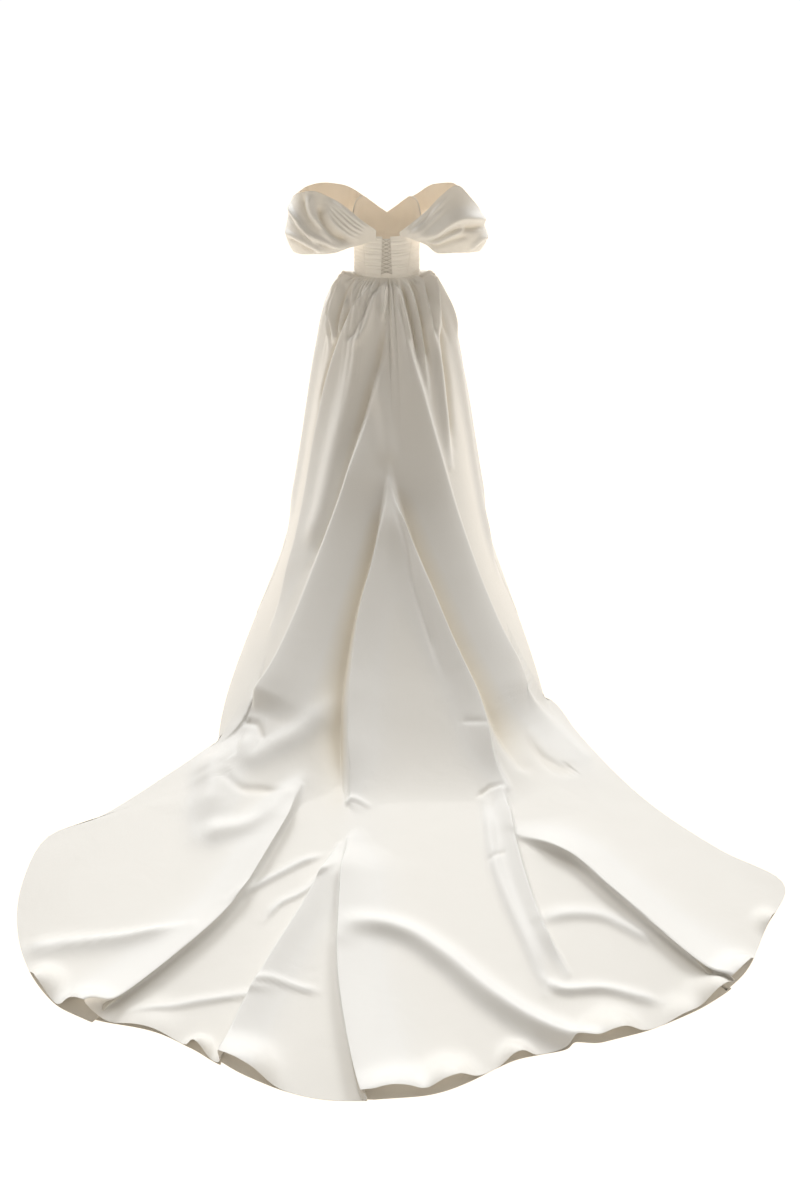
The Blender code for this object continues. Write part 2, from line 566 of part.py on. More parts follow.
def sleeve_base(table, along, down):
    """Points of a sleeve before its folds."""
    spine = smooth_curve([(row[1], row[2]) for row in table], 241)
    shares = np.linspace(0.0, 1.0, len(table))
    top = smooth_value(along, shares, [row[3] for row in table])
    bottom = smooth_value(along, shares, [row[4] for row in table])
    puff = smooth_value(along, shares, [row[5] for row in table])
    reach = np.linspace(0.0, 1.0, 241)
    steps = np.linalg.norm(np.diff(np.asarray([(row[1], row[2]) for row in table]), axis=0), axis=1)
    length_shares = np.concatenate(([0.0], np.cumsum(steps))) / steps.sum()
    at = smooth_value(along, shares, length_shares)
    x = np.interp(at, reach, spine[:, 0])
    y = np.interp(at, reach, spine[:, 1])
    ahead_x = np.interp(np.minimum(at + 0.01, 1.0), reach, spine[:, 0])
    ahead_y = np.interp(np.minimum(at + 0.01, 1.0), reach, spine[:, 1])
    behind_x = np.interp(np.maximum(at - 0.01, 0.0), reach, spine[:, 0])
    behind_y = np.interp(np.maximum(at - 0.01, 0.0), reach, spine[:, 1])
    way = np.stack([ahead_x - behind_x, ahead_y - behind_y], axis=-1)
    way = way / (np.linalg.norm(way, axis=-1, keepdims=True) + 1e-12)
    side = 1.0 if table[0][1] > 0.0 else -1.0
    out = np.stack([way[..., 1], -way[..., 0]], axis=-1) * side
    down = np.clip(down, 0.0, 1.0)
    bulge = puff * (np.sin(math.pi * down**1.5) + 0.45 * down)
    z = top * (1.0 - down) + bottom * down
    x = x + out[..., 0] * bulge
    y = y + out[..., 1] * bulge
    seated_back, over_back = torso_depth(x, z, False)
    seated_front, over_front = torso_depth(x, z, True)
    y = y + (seated_back - y) * (1.0 - ease((along - 0.02) / 0.10))
    y = y + (seated_front - y) * ease((along - 0.88) / 0.10)
    y = np.where(over_back & (along < 0.5), np.minimum(y, seated_back), y)
    y = np.where(over_front & (along > 0.5), np.maximum(y, seated_front), y)
    return np.stack([x, y, z], axis=-1)


def sleeve_points(table, folds, along, down):
    """Points of a sleeve with its folds."""
    base = sleeve_base(table, along, down)
    small = 0.01
    across = sleeve_base(table, np.minimum(along + small, 1.0), down)
    across = across - sleeve_base(table, np.maximum(along - small, 0.0), down)
    fall = sleeve_base(table, along, np.minimum(down + small, 1.0))
    fall = fall - sleeve_base(table, along, np.maximum(down - small, 0.0))
    side = 1.0 if table[0][1] > 0.0 else -1.0
    normal = np.cross(fall, across) * side
    normal = normal / (np.linalg.norm(normal, axis=-1, keepdims=True) + 1e-12)
    relief = np.zeros(base.shape[:-1])
    for row in folds:
        nodes = smooth_curve(np.asarray(row[4:], float).reshape(-1, 2), 17)
        line = sleeve_base(table, nodes[:, 0], nodes[:, 1])
        relief += line_relief(base, normal, line, row[1], row[2], row[3])
    relief = relief * ease(along / 0.12) * ease((1.0 - along) / 0.12)
    return base + normal * relief[..., None]


def collection():
    """The collection that holds the gown."""
    found = bpy.data.collections.get(NAME)
    if found is None:
        found = bpy.data.collections.new(NAME)
        bpy.context.scene.collection.children.link(found)
    return found


def coloured(piece, colour):
    """Give a piece its own plain material."""
    material = bpy.data.materials.new(piece.name + "_cloth")
    material.use_nodes = True
    shader = material.node_tree.nodes["Principled BSDF"]
    shader.inputs["Base Color"].default_value = colour
    shader.inputs["Roughness"].default_value = 0.6
    material.diffuse_color = colour
    piece.data.materials.append(material)


def cloth_wall(name, places, colour, thickness=WALL):
    """A cloth wall whose middle passes through a grid of points."""
    columns, rows = places.shape[:2]
    mesh = bpy.data.meshes.new(name)
    bm = bmesh.new()
    bmesh.ops.create_grid(bm, x_segments=columns - 1, y_segments=rows - 1, size=1.0)
    for vert in bm.verts:
        i = int(round((vert.co.x + 1.0) * 0.5 * (columns - 1)))
        j = int(round((vert.co.y + 1.0) * 0.5 * (rows - 1)))
        vert.co = places[i, j]
    bm.to_mesh(mesh)
    bm.free()
    piece = bpy.data.objects.new(name, mesh)
    collection().objects.link(piece)
    wall = piece.modifiers.new("wall", "SOLIDIFY")
    wall.thickness = thickness
    wall.offset = 0.0
    coloured(piece, colour)
    return piece


def seam_place(place, runs, side):
    """Places beside a seam, half the seam gap away from it all along."""
    small = 0.002
    at = np.full(len(runs), place)
    width = base_point(at + small, runs) - base_point(at - small, runs)
    rate = np.linalg.norm(width, axis=-1) / (2.0 * small)
    return place + side * (0.5 * SEAM_GAP + EDGE_ROOM) / rate


def guided(guides, counts, runs, side):
    """A grid of around and run for a back panel whose columns follow the guides."""
    lines = [smooth_value(runs, GUIDE_RUNS, row[1:]) for row in guides]
    columns = []
    for i, count in enumerate(counts):
        for step in range(count):
            share = step / count
            columns.append(lines[i] * (1.0 - share) + lines[i + 1] * share)
    columns[0] = np.abs(seam_place(0.0, runs, side))
    columns.append(np.abs(seam_place(side * SIDE_SEAM, runs, -side)))
    around = side * np.stack(columns)
    if side < 0.0:
        around = around[::-1]
    return around, np.broadcast_to(runs, around.shape)


def make_skirt():
    """The skirt front and the two back panels that make the train."""
    near_waist = np.linspace(0.0, 0.12, 6)
    middle = np.linspace(0.12, 0.86, 18)[1:]
    near_hem = np.linspace(0.86, 1.0, 8)[1:]
    runs = np.concatenate([near_waist, middle, near_hem])
    for name, guides, counts, side in (
        ("skirt_back_left", GUIDES_LEFT, (4, 5, 8, 11, 8, 7), -1.0),
        ("skirt_back_right", GUIDES_RIGHT, (9, 4, 6, 13, 11), 1.0),
    ):
        grid_around, grid_run = guided(guides, counts, runs, side)
        cloth_wall(name, skirt_points(grid_around, grid_run), IVORY)
    crests = sorted(row[0] % 2.0 for row in PLEATS if abs(row[0]) > SIDE_SEAM)
    hollows = [0.5 * (one + other) for one, other in zip(crests, crests[1:])]
    columns = np.array(sorted([SIDE_SEAM, *crests, *hollows, 2.0 - SIDE_SEAM]))
    grid_around, grid_run = np.meshgrid(columns, runs, indexing="ij")
    grid_around[0] = seam_place(SIDE_SEAM, runs, 1.0)
    grid_around[-1] = 2.0 + seam_place(-SIDE_SEAM, runs, -1.0)
    turned = np.where(grid_around > 1.0, grid_around - 2.0, grid_around)
    cloth_wall("skirt_front", skirt_points(turned, grid_run), IVORY)


def grid_normals(places):
    """Directions square to a grid of points."""
    across = np.gradient(places, axis=0)
    along = np.gradient(places, axis=1)
    normal = np.cross(across, along)
    return normal / (np.linalg.norm(normal, axis=-1, keepdims=True) + 1e-12)


def make_bodice():
    """The panels of the bodice, its lining and the panel behind the lacing."""
    shares = np.linspace(0.0, 1.0, 8)
    half_gap = 0.12
    for name, from_waist, from_top, to_waist, to_top, columns in BODICE_PANELS:
        across, rise = np.meshgrid(np.linspace(0.0, 1.0, columns), shares, indexing="ij")
        start = from_waist * (1.0 - rise) + from_top * rise + half_gap
        end = to_waist * (1.0 - rise) + to_top * rise - half_gap
        angle = start * (1.0 - across) + end * across
        height = BODICE_FOOT + (top_edge(angle) - BODICE_FOOT) * rise
        places = torso_points(angle, height)
        cloth_wall(name, places, IVORY)
        if name == "bodice_front":
            inward = -grid_normals(places)
            lining = places + inward * (0.5 * WALL + LINING_GAP + 0.5 * LINING_WALL)
            cloth_wall("bodice_lining", lining[1:-1], NUDE, LINING_WALL)
    across, rise = np.meshgrid(np.linspace(-17.0, 17.0, 7), shares, indexing="ij")
    height = 0.004 + 0.130 * rise
    inside = 0.5 * WALL + LINING_GAP + 0.5 * LINING_WALL
    cloth_wall("lacing_panel", torso_points(across, height, -inside), IVORY, LINING_WALL)


def make_sleeves():
    """The two draped sleeves."""
    sides = (
        ("sleeve_left", SLEEVE_LEFT, SLEEVE_FOLDS_LEFT),
        ("sleeve_right", SLEEVE_RIGHT, SLEEVE_FOLDS_RIGHT),
    )
    for name, table, folds in sides:
        seam = np.array([0.0, 0.02, 0.04, 0.065])
        columns = np.concatenate([seam, np.linspace(0.10, 0.90, 21), 1.0 - seam[::-1]])
        along, down = np.meshgrid(columns, np.linspace(0.0, 1.0, 10), indexing="ij")
        cloth_wall(name, sleeve_points(table, folds, along, down), IVORY)


def make_laces():
    """The two cords that zigzag across the gap at the centre back."""
    for name, side, rise in LACES:
        shares = np.linspace(0.0, 1.0, 2 * LACE_TURNS + 1)
        height = LACE_TOP + (LACE_BOTTOM - LACE_TOP) * shares
        half = LACE_HALF_TOP + (LACE_HALF_BOTTOM - LACE_HALF_TOP) * shares
        turn = np.arange(2 * LACE_TURNS + 1)
        sway = np.cos(0.5 * math.pi * turn) * side
        width = smooth_value(height, [row[1] for row in TORSO], [row[2] for row in TORSO])
        angle = np.degrees(np.arcsin(half / width))
        out = torso_points(angle, height, LACE_OUT)[:, 1]
        curve = bpy.data.curves.new(name, "CURVE")
        curve.dimensions = "3D"
        curve.bevel_depth = LACE_RADIUS
        curve.bevel_resolution = 1
        curve.use_fill_caps = True
        spline = curve.splines.new("POLY")
        spline.points.add(len(turn) - 1)
        for i in turn:
            crossing = i % 2 == 1
            lift = rise if crossing else 0.0
            spline.points[int(i)].co = (half[i] * sway[i], out[i] - lift, height[i], 1.0)
        cord = bpy.data.objects.new(name, curve)
        collection().objects.link(cord)
        coloured(cord, CORD_COLOUR)


def main():
    """Build the gown."""
    for found in list(bpy.data.objects):
        bpy.data.objects.remove(found, do_unlink=True)
    make_skirt()
    make_bodice()
    make_sleeves()
    make_laces()


if __name__ == "__main__":
    main()
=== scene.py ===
"""Looks of an evening gown standing empty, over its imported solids. Sizes are in metres."""

import math

import bmesh
import bpy
import numpy as np
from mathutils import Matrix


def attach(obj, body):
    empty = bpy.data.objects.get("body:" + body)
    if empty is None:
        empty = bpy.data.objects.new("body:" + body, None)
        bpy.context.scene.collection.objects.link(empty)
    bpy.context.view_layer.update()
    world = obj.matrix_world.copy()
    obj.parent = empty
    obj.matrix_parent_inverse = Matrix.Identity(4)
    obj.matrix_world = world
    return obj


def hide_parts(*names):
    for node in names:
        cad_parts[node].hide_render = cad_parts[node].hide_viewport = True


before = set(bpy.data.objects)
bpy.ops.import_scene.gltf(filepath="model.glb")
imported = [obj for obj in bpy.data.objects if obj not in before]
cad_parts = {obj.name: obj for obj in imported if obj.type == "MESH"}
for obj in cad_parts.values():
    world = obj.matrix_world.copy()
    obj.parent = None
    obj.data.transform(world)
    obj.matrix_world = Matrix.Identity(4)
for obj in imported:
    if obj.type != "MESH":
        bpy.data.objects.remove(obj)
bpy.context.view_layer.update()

bl_info = {
    "name": "Evening gown",
    "version": (1, 0, 0),
    "blender": (4, 5, 0),
    "location": "3D View > Sidebar > Gown",
    "description": "Dresses the solids of an evening gown with cloth, lacing and a studio",
    "category": "Object",
}

# The floor, and the height of the middle of the cloth that lies on it.
FLOOR = -1.12
LYING = FLOOR + 0.0016

# The side seams as a share of the way from the centre back to the centre front, and half the gap
# between two sheets at a seam.
SIDE_SEAM = 0.5
HALF_SEAM = 0.00025

# How finely the skirt is worked out before its folds, where a line of the train has its points
# between the foot of the skirt and the hem, and the shortest such line that counts as train.
LATTICE_AROUND = 1001
LATTICE_RUN = 361
RING_POINTS = 2001
HEM_POINTS = 1200
LINE_POINTS = 400
FLOOR_STEPS = (0.33, 0.66, 1.0)
SHORTEST_TRAIN = 0.02

# The hanging skirt, a row for each level ring.
# name, height, half_width, front, back, square, flare
SECTIONS = (
    ("waist", -0.0022, 0.1225, 0.088, 0.088, 2.0, 0.00),
    ("gathers", -0.0170, 0.1600, 0.108, 0.100, 2.0, 0.00),
    ("hip", -0.1000, 0.2180, 0.160, 0.165, 2.1, 0.00),
    ("seat", -0.2600, 0.2660, 0.215, 0.270, 2.2, 0.00),
    ("thigh", -0.5000, 0.3160, 0.280, 0.480, 2.5, 0.00),
    ("knee", -0.6800, 0.3480, 0.325, 0.690, 2.8, 0.00),
    ("calf", -0.8600, 0.3840, 0.370, 0.990, 3.3, 0.02),
    ("shin", -1.0000, 0.4140, 0.405, 1.270, 4.2, 0.12),
    ("floor", -1.1150, 0.4450, 0.440, 1.620, 6.0, 0.32),
)

# The hem of the train from the side to the middle of the back, on each side.
# x, y
HEM_LEFT = (
    (-0.540, -1.412),
    (-0.590, -1.470),
    (-0.661, -1.551),
    (-0.735, -1.636),
    (-0.805, -1.706),
    (-0.925, -1.775),
    (-0.940, -1.930),
    (-0.870, -2.130),
    (-0.740, -2.270),
    (-0.470, -2.345),
    (-0.290, -2.430),
    (-0.120, -2.480),
    (0.014, -2.484),
)
HEM_RIGHT = (
    (0.575, -1.220),
    (0.610, -1.330),
    (0.665, -1.460),
    (0.770, -1.650),
    (0.930, -1.830),
    (1.055, -1.935),
    (0.960, -2.070),
    (0.850, -2.210),
    (0.640, -2.320),
    (0.470, -2.367),
    (0.300, -2.400),
    (0.140, -2.467),
    (0.014, -2.484),
)

# How the lines that run down the skirt share out the hem of the train on each side.
# around, share of the hem counted from the side
SHARES_LEFT = (
    (0.000, 1.000),
    (0.060, 0.797),
    (0.120, 0.580),
    (0.150, 0.440),
    (0.190, 0.200),
    (0.235, 0.000),
)
SHARES_RIGHT = (
    (0.000, 1.000),
    (0.120, 0.620),
    (0.170, 0.430),
    (0.230, 0.180),
    (0.280, 0.060),
    (0.325, 0.000),
)

# Folds of the skirt, each along a line of points given as around and run. Around is the share of
# the way from the centre back (0) to the centre front (1), negative on the left. Run is the share
# of the way from the waist (0) to the hem (1). Left and right are as seen from behind, and a fold
# leans left where lean is above 0 and its line runs towards the hem.
# name, height, end_height, left_width, right_width, lean, then around and run from start to end
FOLDS = (
    ("left_outer_ridge", 0.03, 0.024, 0.016, 0.055, 0.25,
     -0.062, 0.017, -0.13, 0.028, -0.173, 0.044, -0.212, 0.106, -0.249, 0.203, -0.261, 0.331,
     -0.261, 0.414, -0.252, 0.553, -0.26, 0.653, -0.257, 0.77),
    ("left_soft_ridge", 0.026, 0.026, 0.045, 0.045, 0.0,
     -0.09, 0.03, -0.112, 0.069, -0.139, 0.15, -0.166, 0.272, -0.172, 0.361, -0.19, 0.478),
    ("left_soft_valley", -0.016, -0.012, 0.02, 0.018, 0.0,
     -0.21, 0.055, -0.248, 0.115, -0.282, 0.2, -0.296, 0.33, -0.3, 0.45),
    ("left_deep_valley", -0.026, -0.026, 0.03, 0.014, 0.0,
     0.004, 0.025, -0.016, 0.078, -0.036, 0.114, -0.064, 0.153, -0.084, 0.19, -0.104, 0.24,
     -0.12, 0.3, -0.144, 0.37, -0.164, 0.44),
    ("left_main_ridge", 0.052, 0.046, 0.03, 0.095, 0.2,
     -0.06, 0.175, -0.078, 0.225, -0.089, 0.272, -0.116, 0.353, -0.137, 0.431, -0.152, 0.51,
     -0.169, 0.614, -0.186, 0.7, -0.202, 0.785, -0.211, 0.835),
    ("left_main_foot", 0.026, 0.026, 0.05, 0.06, 0.0,
     -0.222, 0.91, -0.205, 0.9, -0.186, 0.853, -0.158, 0.792, -0.131, 0.8),
    ("cone_left_valley", -0.03, -0.03, 0.055, 0.012, 0.0,
     -0.002, 0.27, -0.024, 0.353, -0.038, 0.403, -0.054, 0.456, -0.06, 0.508, -0.06, 0.61,
     -0.044, 0.71),
    ("cone_left_edge", 0.026, 0.026, 0.009, 0.06, 0.3,
     0.006, 0.285, -0.011, 0.353, -0.024, 0.403, -0.04, 0.456, -0.045, 0.508, -0.044, 0.61,
     -0.032, 0.71),
    ("cone_right_edge", 0.034, 0.034, 0.05, 0.014, -0.3,
     0.009, 0.282, 0.054, 0.386, 0.073, 0.425, 0.088, 0.464, 0.104, 0.515, 0.13, 0.611, 0.135,
     0.717),
    ("cone_right_valley", -0.028, -0.03, 0.018, 0.07, 0.0,
     0.018, 0.255, 0.07, 0.38, 0.092, 0.425, 0.108, 0.464, 0.124, 0.515, 0.148, 0.6, 0.17,
     0.716),
    ("highlight_ridge", 0.015, 0.015, 0.03, 0.03, 0.0,
     -0.032, 0.115, -0.03, 0.155, -0.008, 0.19, 0.003, 0.225, 0.02, 0.265),
    ("right_main_ridge", 0.06, 0.04, 0.1, 0.032, -0.25,
     0.03, 0.019, 0.058, 0.036, 0.093, 0.114, 0.131, 0.217, 0.164, 0.344, 0.19, 0.483, 0.206,
     0.59, 0.22, 0.69, 0.242, 0.783, 0.268, 0.9, 0.28, 0.955, 0.268, 0.975, 0.25, 0.972,
     0.232, 0.96),
    ("right_pleat_1", 0.014, 0.014, 0.012, 0.012, 0.0,
     0.195, 0.01, 0.18, 0.05, 0.175, 0.09, 0.172, 0.13, 0.17, 0.175),
    ("right_pleat_2", 0.014, 0.014, 0.012, 0.012, 0.0,
     0.34, 0.01, 0.26, 0.04, 0.24, 0.065, 0.228, 0.09, 0.213, 0.11),
    ("right_pleat_3", 0.024, 0.024, 0.022, 0.016, 0.0,
     0.48, 0.01, 0.282, 0.105, 0.25, 0.185, 0.228, 0.26, 0.218, 0.34),
    ("right_pleat_valley", -0.018, -0.018, 0.015, 0.02, 0.0,
     0.33, 0.115, 0.297, 0.17, 0.29, 0.235, 0.268, 0.285, 0.25, 0.335),
    ("left_pleat_1", 0.014, 0.014, 0.012, 0.012, 0.0,
     -0.453, 0.01, -0.343, 0.05, -0.353, 0.095, -0.35, 0.14, -0.325, 0.175),
    ("left_pleat_2", 0.014, 0.014, 0.012, 0.012, 0.0,
     -0.335, 0.035, -0.333, 0.075, -0.328, 0.11, -0.307, 0.135, -0.275, 0.155),
    ("left_pleat_3", 0.014, 0.014, 0.012, 0.012, 0.0,
     -0.275, 0.06, -0.258, 0.075, -0.26, 0.095, -0.262, 0.115, -0.267, 0.135),
    ("left_swag", 0.012, 0.01, 0.045, 0.04, 0.0,
     -0.205, 0.87, -0.18, 0.775, -0.129, 0.656, -0.09, 0.62, -0.055, 0.575),
    ("left_foot_ridge", 0.014, 0.016, 0.035, 0.03, 0.0,
     -0.136, 0.807, -0.123, 0.781, -0.11, 0.76, -0.105, 0.73, -0.092, 0.705),
    ("left_roll", 0.034, 0.03, 0.05, 0.012, -0.45,
     -0.092, 0.71, -0.085, 0.805, -0.085, 0.88, -0.095, 0.935, -0.107, 1.0),
    ("left_side_fold", 0.014, 0.016, 0.024, 0.012, 0.0,
     -0.14, 0.997, -0.13, 0.956, -0.119, 0.928, -0.107, 0.908, -0.096, 0.9),
    ("triangle_left", 0.026, 0.026, 0.01, 0.045, 0.3,
     -0.034, 0.765, -0.043, 0.84, -0.051, 0.905, -0.054, 0.96, -0.054, 1.0),
    ("centre_left_edge", 0.034, 0.036, 0.009, 0.06, 0.3,
     -0.027, 0.755, -0.022, 0.84, -0.018, 0.9, -0.01, 0.955, -0.003, 1.0),
    ("centre_ridge", 0.02, 0.032, 0.026, 0.026, 0.0,
     -0.019, 0.867, -0.013, 0.85, -0.002, 0.85, 0.01, 0.858, 0.026, 0.889, 0.044, 0.947, 0.057,
     0.981, 0.068, 0.999),
    ("strip_left", 0.012, 0.01, 0.016, 0.018, 0.0,
     0.103, 0.724, 0.077, 0.795, 0.069, 0.855, 0.067, 0.905, 0.064, 0.95),
    ("strip_right", 0.024, 0.02, 0.022, 0.01, -0.3,
     0.128, 0.715, 0.094, 0.79, 0.082, 0.845, 0.076, 0.895, 0.076, 0.935),
    ("right_roll", 0.034, 0.032, 0.011, 0.05, 0.45,
     0.102, 0.775, 0.12, 0.815, 0.121, 0.87, 0.121, 0.925, 0.124, 1.0),
    ("right_flat_fold", 0.008, 0.008, 0.014, 0.022, 0.0,
     0.076, 0.88, 0.093, 0.88, 0.105, 0.89, 0.111, 0.91, 0.115, 0.935),
)

# Lines that the columns of the skirt backs follow, so that sharp folds stay crisp. A row gives the
# around of one line, without its sign, at the runs of GUIDE_RUNS.
GUIDE_RUNS = (0.0, 0.14, 0.27, 0.40, 0.50, 0.60, 0.70, 0.76, 0.84, 0.90, 0.95, 1.0)
GUIDES_LEFT = (
    ("seam", 0.0, 0.0, 0.0, 0.0, 0.0, 0.0, 0.0, 0.0, 0.0, 0.0, 0.0, 0.0),
    ("centre_edge", .030, .009, .010, .024, .044, .046, .034, .028, .022, .018, .011, .003),
    ("triangle", .060, .020, .021, .036, .058, .060, .047, .038, .043, .051, .054, .054),
    ("roll", .100, .034, .056, .090, .108, .110, .097, .088, .085, .089, .098, .107),
    ("main", .140, .050, .088, .127, .150, .167, .186, .198, .214, .224, .230, .236),
    ("outer", .200, .225, .258, .261, .256, .257, .260, .262, .268, .275, .280, .285),
    ("side", 0.5, 0.5, 0.5, 0.5, 0.5, 0.5, 0.5, 0.5, 0.5, 0.5, 0.5, 0.5),
)
GUIDES_RIGHT = (
    ("seam", 0.0, 0.0, 0.0, 0.0, 0.0, 0.0, 0.0, 0.0, 0.0, 0.0, 0.0, 0.0),
    ("strip_left", .030, .020, .012, .038, .074, .102, .112, .089, .071, .067, .064, .061),
    ("strip_right", .050, .034, .020, .060, .098, .127, .135, .107, .083, .076, .076, .074),
    ("roll", .070, .050, .032, .075, .112, .140, .151, .120, .120, .120, .122, .124),
    ("main", .100, .105, .145, .176, .193, .208, .222, .236, .256, .270, .280, .290),
    ("side", 0.5, 0.5, 0.5, 0.5, 0.5, 0.5, 0.5, 0.5, 0.5, 0.5, 0.5, 0.5),
)

# The columns between each guide and the next, and those of the front.
COLUMNS_LEFT = (24, 50, 56, 76, 52, 62)
COLUMNS_RIGHT = (70, 34, 50, 92, 76)
COLUMNS_FRONT = 280

# The rows of the skirt, closest where its folds are finest.
# from_run, to_run, rows
ROWS_BACK = ((0.0, 0.12, 34), (0.12, 0.62, 90), (0.62, 0.95, 130), (0.95, 1.0, 46))
ROWS_FRONT = ((0.0, 0.12, 20), (0.12, 1.0, 90))

# Pleats that run straight down the front and the sides, from the waist.
# around, ends_at, height, width
PLEATS = (
    (-0.950, 0.62, 0.016, 0.030),
    (-0.850, 0.80, 0.022, 0.040),
    (-0.740, 0.55, 0.016, 0.030),
    (-0.640, 0.90, 0.024, 0.045),
    (-0.560, 0.45, 0.014, 0.022),
    (-0.450, 0.70, 0.020, 0.040),
    (0.430, 0.80, 0.022, 0.040),
    (0.540, 0.50, 0.014, 0.022),
    (0.620, 0.85, 0.024, 0.045),
    (0.720, 0.55, 0.016, 0.030),
    (0.820, 0.85, 0.022, 0.045),
    (0.920, 0.60, 0.016, 0.030),
)

# Places where the hem of the train stands up in an open fold or curls.
# around, half_width, lift
CURLS = (
    (-0.126, 0.040, 0.048),
    (-0.108, 0.046, 0.064),
    (-0.086, 0.060, 0.016),
    (-0.065, 0.024, 0.048),
    (-0.046, 0.052, 0.054),
    (0.006, 0.044, 0.044),
    (0.021, 0.050, 0.058),
    (0.045, 0.030, 0.036),
    (0.078, 0.052, 0.050),
    (0.103, 0.040, 0.014),
    (0.116, 0.046, 0.056),
    (0.129, 0.040, 0.046),
    (0.151, 0.028, 0.022),
)

# The facing of the hem: its width, how low and how far back the hem is where it has one, and how
# deep the shade painted on it is.
FACING_WIDTH = 0.09
FACING_BELOW = FLOOR + 0.08
FACING_FROM = -1.15
FACING_PAINTED_SHADE = -0.006

# The bodice, a row for each level ring.
# name, height, half_width, front, back
TORSO = (
    ("waist", 0.000, 0.1225, 0.088, 0.088),
    ("ribs", 0.040, 0.1215, 0.093, 0.089),
    ("under_bust", 0.085, 0.1208, 0.106, 0.092),
    ("bust", 0.130, 0.1265, 0.124, 0.097),
    ("armhole", 0.180, 0.1370, 0.128, 0.101),
    ("neckline", 0.240, 0.1460, 0.118, 0.103),
    ("top", 0.300, 0.1500, 0.106, 0.104),
)

# The cups: how far they stand out, where their middles are and how far they reach. An angle of the
# bodice runs from the centre back (0) to the centre front (180).
CUP_DEPTH = 0.010
CUP_ANGLE = 36.0
CUP_WIDE = 24.0
CUP_HEIGHT = 0.15
CUP_TALL = 0.055

# The top edge of the bodice.
# angle, height
TOP_EDGE = (
    (0.0, 0.142),
    (35.0, 0.144),
    (75.0, 0.140),
    (100.0, 0.150),
    (116.0, 0.200),
    (132.0, 0.244),
    (142.0, 0.252),
    (152.0, 0.239),
    (166.0, 0.214),
    (180.0, 0.191),
)

# Panels of the bodice with the angles of their edges at the waist and at the top.
# name, from_waist, from_top, to_waist, to_top, columns
BODICE_PANELS = (
    ("bodice_back_left", -40.0, -44.0, -8.5, -6.0, 5),
    ("bodice_side_left", -104.0, -104.0, -40.0, -44.0, 8),
    ("bodice_back_right", 8.5, 6.0, 39.0, 48.0, 5),
    ("bodice_side_right", 39.0, 48.0, 104.0, 104.0, 8),
    ("bodice_front", 104.0, 104.0, 256.0, 256.0, 20),
)
PANEL_GAP = 0.12
PLEATS_ACROSS = 11
PLEAT_DEPTH = 0.0021
BODICE_FOOT = -0.0009

# The lining of the front lies inside the bodice wall, and so does the panel behind the lacing.
LINING_FROM = 104.6
LINING_TO = 255.4
LINING_OUT = -0.0032
LINING_WALL = 0.001
LACING_PANEL_HALF = 17.0
LACING_PANEL_FOOT = 0.002
LACING_PANEL_TOP = 0.135
LACING_PANEL_OUT = -0.0022
LACING_PANEL_WALL = 0.0012

# The sleeves, a row for each upright section from the back of the bodice round to its front.
# name, x, y, top, bottom, puff
SLEEVE_LEFT = (
    ("back_seam", -0.036, -0.1030, 0.164, 0.130, 0.002),
    ("shoulder_blade", -0.090, -0.0900, 0.198, 0.114, 0.008),
    ("back_arm", -0.145, -0.0820, 0.240, 0.104, 0.016),
    ("back_drape", -0.200, -0.0880, 0.272, 0.088, 0.024),
    ("back_outer", -0.260, -0.0880, 0.292, 0.084, 0.026),
    ("outer_back", -0.310, -0.0680, 0.282, 0.080, 0.026),
    ("outer", -0.338, -0.0200, 0.262, 0.080, 0.026),
    ("outer_front", -0.330, 0.0350, 0.268, 0.086, 0.024),
    ("front_outer", -0.290, 0.0800, 0.288, 0.096, 0.022),
    ("front_drape", -0.235, 0.1000, 0.296, 0.108, 0.018),
    ("front_arm", -0.175, 0.1080, 0.290, 0.126, 0.012),
    ("cup", -0.120, 0.1180, 0.272, 0.146, 0.008),
    ("front_seam", -0.072, 0.1320, 0.243, 0.168, 0.002),
)
SLEEVE_RIGHT = (
    ("back_seam", 0.048, -0.1030, 0.156, 0.144, 0.002),
    ("shoulder_blade", 0.092, -0.0900, 0.187, 0.133, 0.008),
    ("back_arm", 0.145, -0.0820, 0.226, 0.113, 0.016),
    ("back_drape", 0.195, -0.0880, 0.276, 0.086, 0.024),
    ("back_outer", 0.250, -0.0880, 0.310, 0.088, 0.026),
    ("outer_back", 0.302, -0.0680, 0.268, 0.086, 0.026),
    ("outer", 0.338, -0.0200, 0.222, 0.082, 0.026),
    ("outer_front", 0.336, 0.0350, 0.202, 0.086, 0.024),
    ("front_outer", 0.300, 0.0800, 0.252, 0.096, 0.022),
    ("front_drape", 0.240, 0.1000, 0.296, 0.108, 0.018),
    ("front_arm", 0.175, 0.1080, 0.290, 0.126, 0.012),
    ("cup", 0.120, 0.1180, 0.262, 0.146, 0.008),
    ("front_seam", 0.072, 0.1320, 0.240, 0.168, 0.002),
)

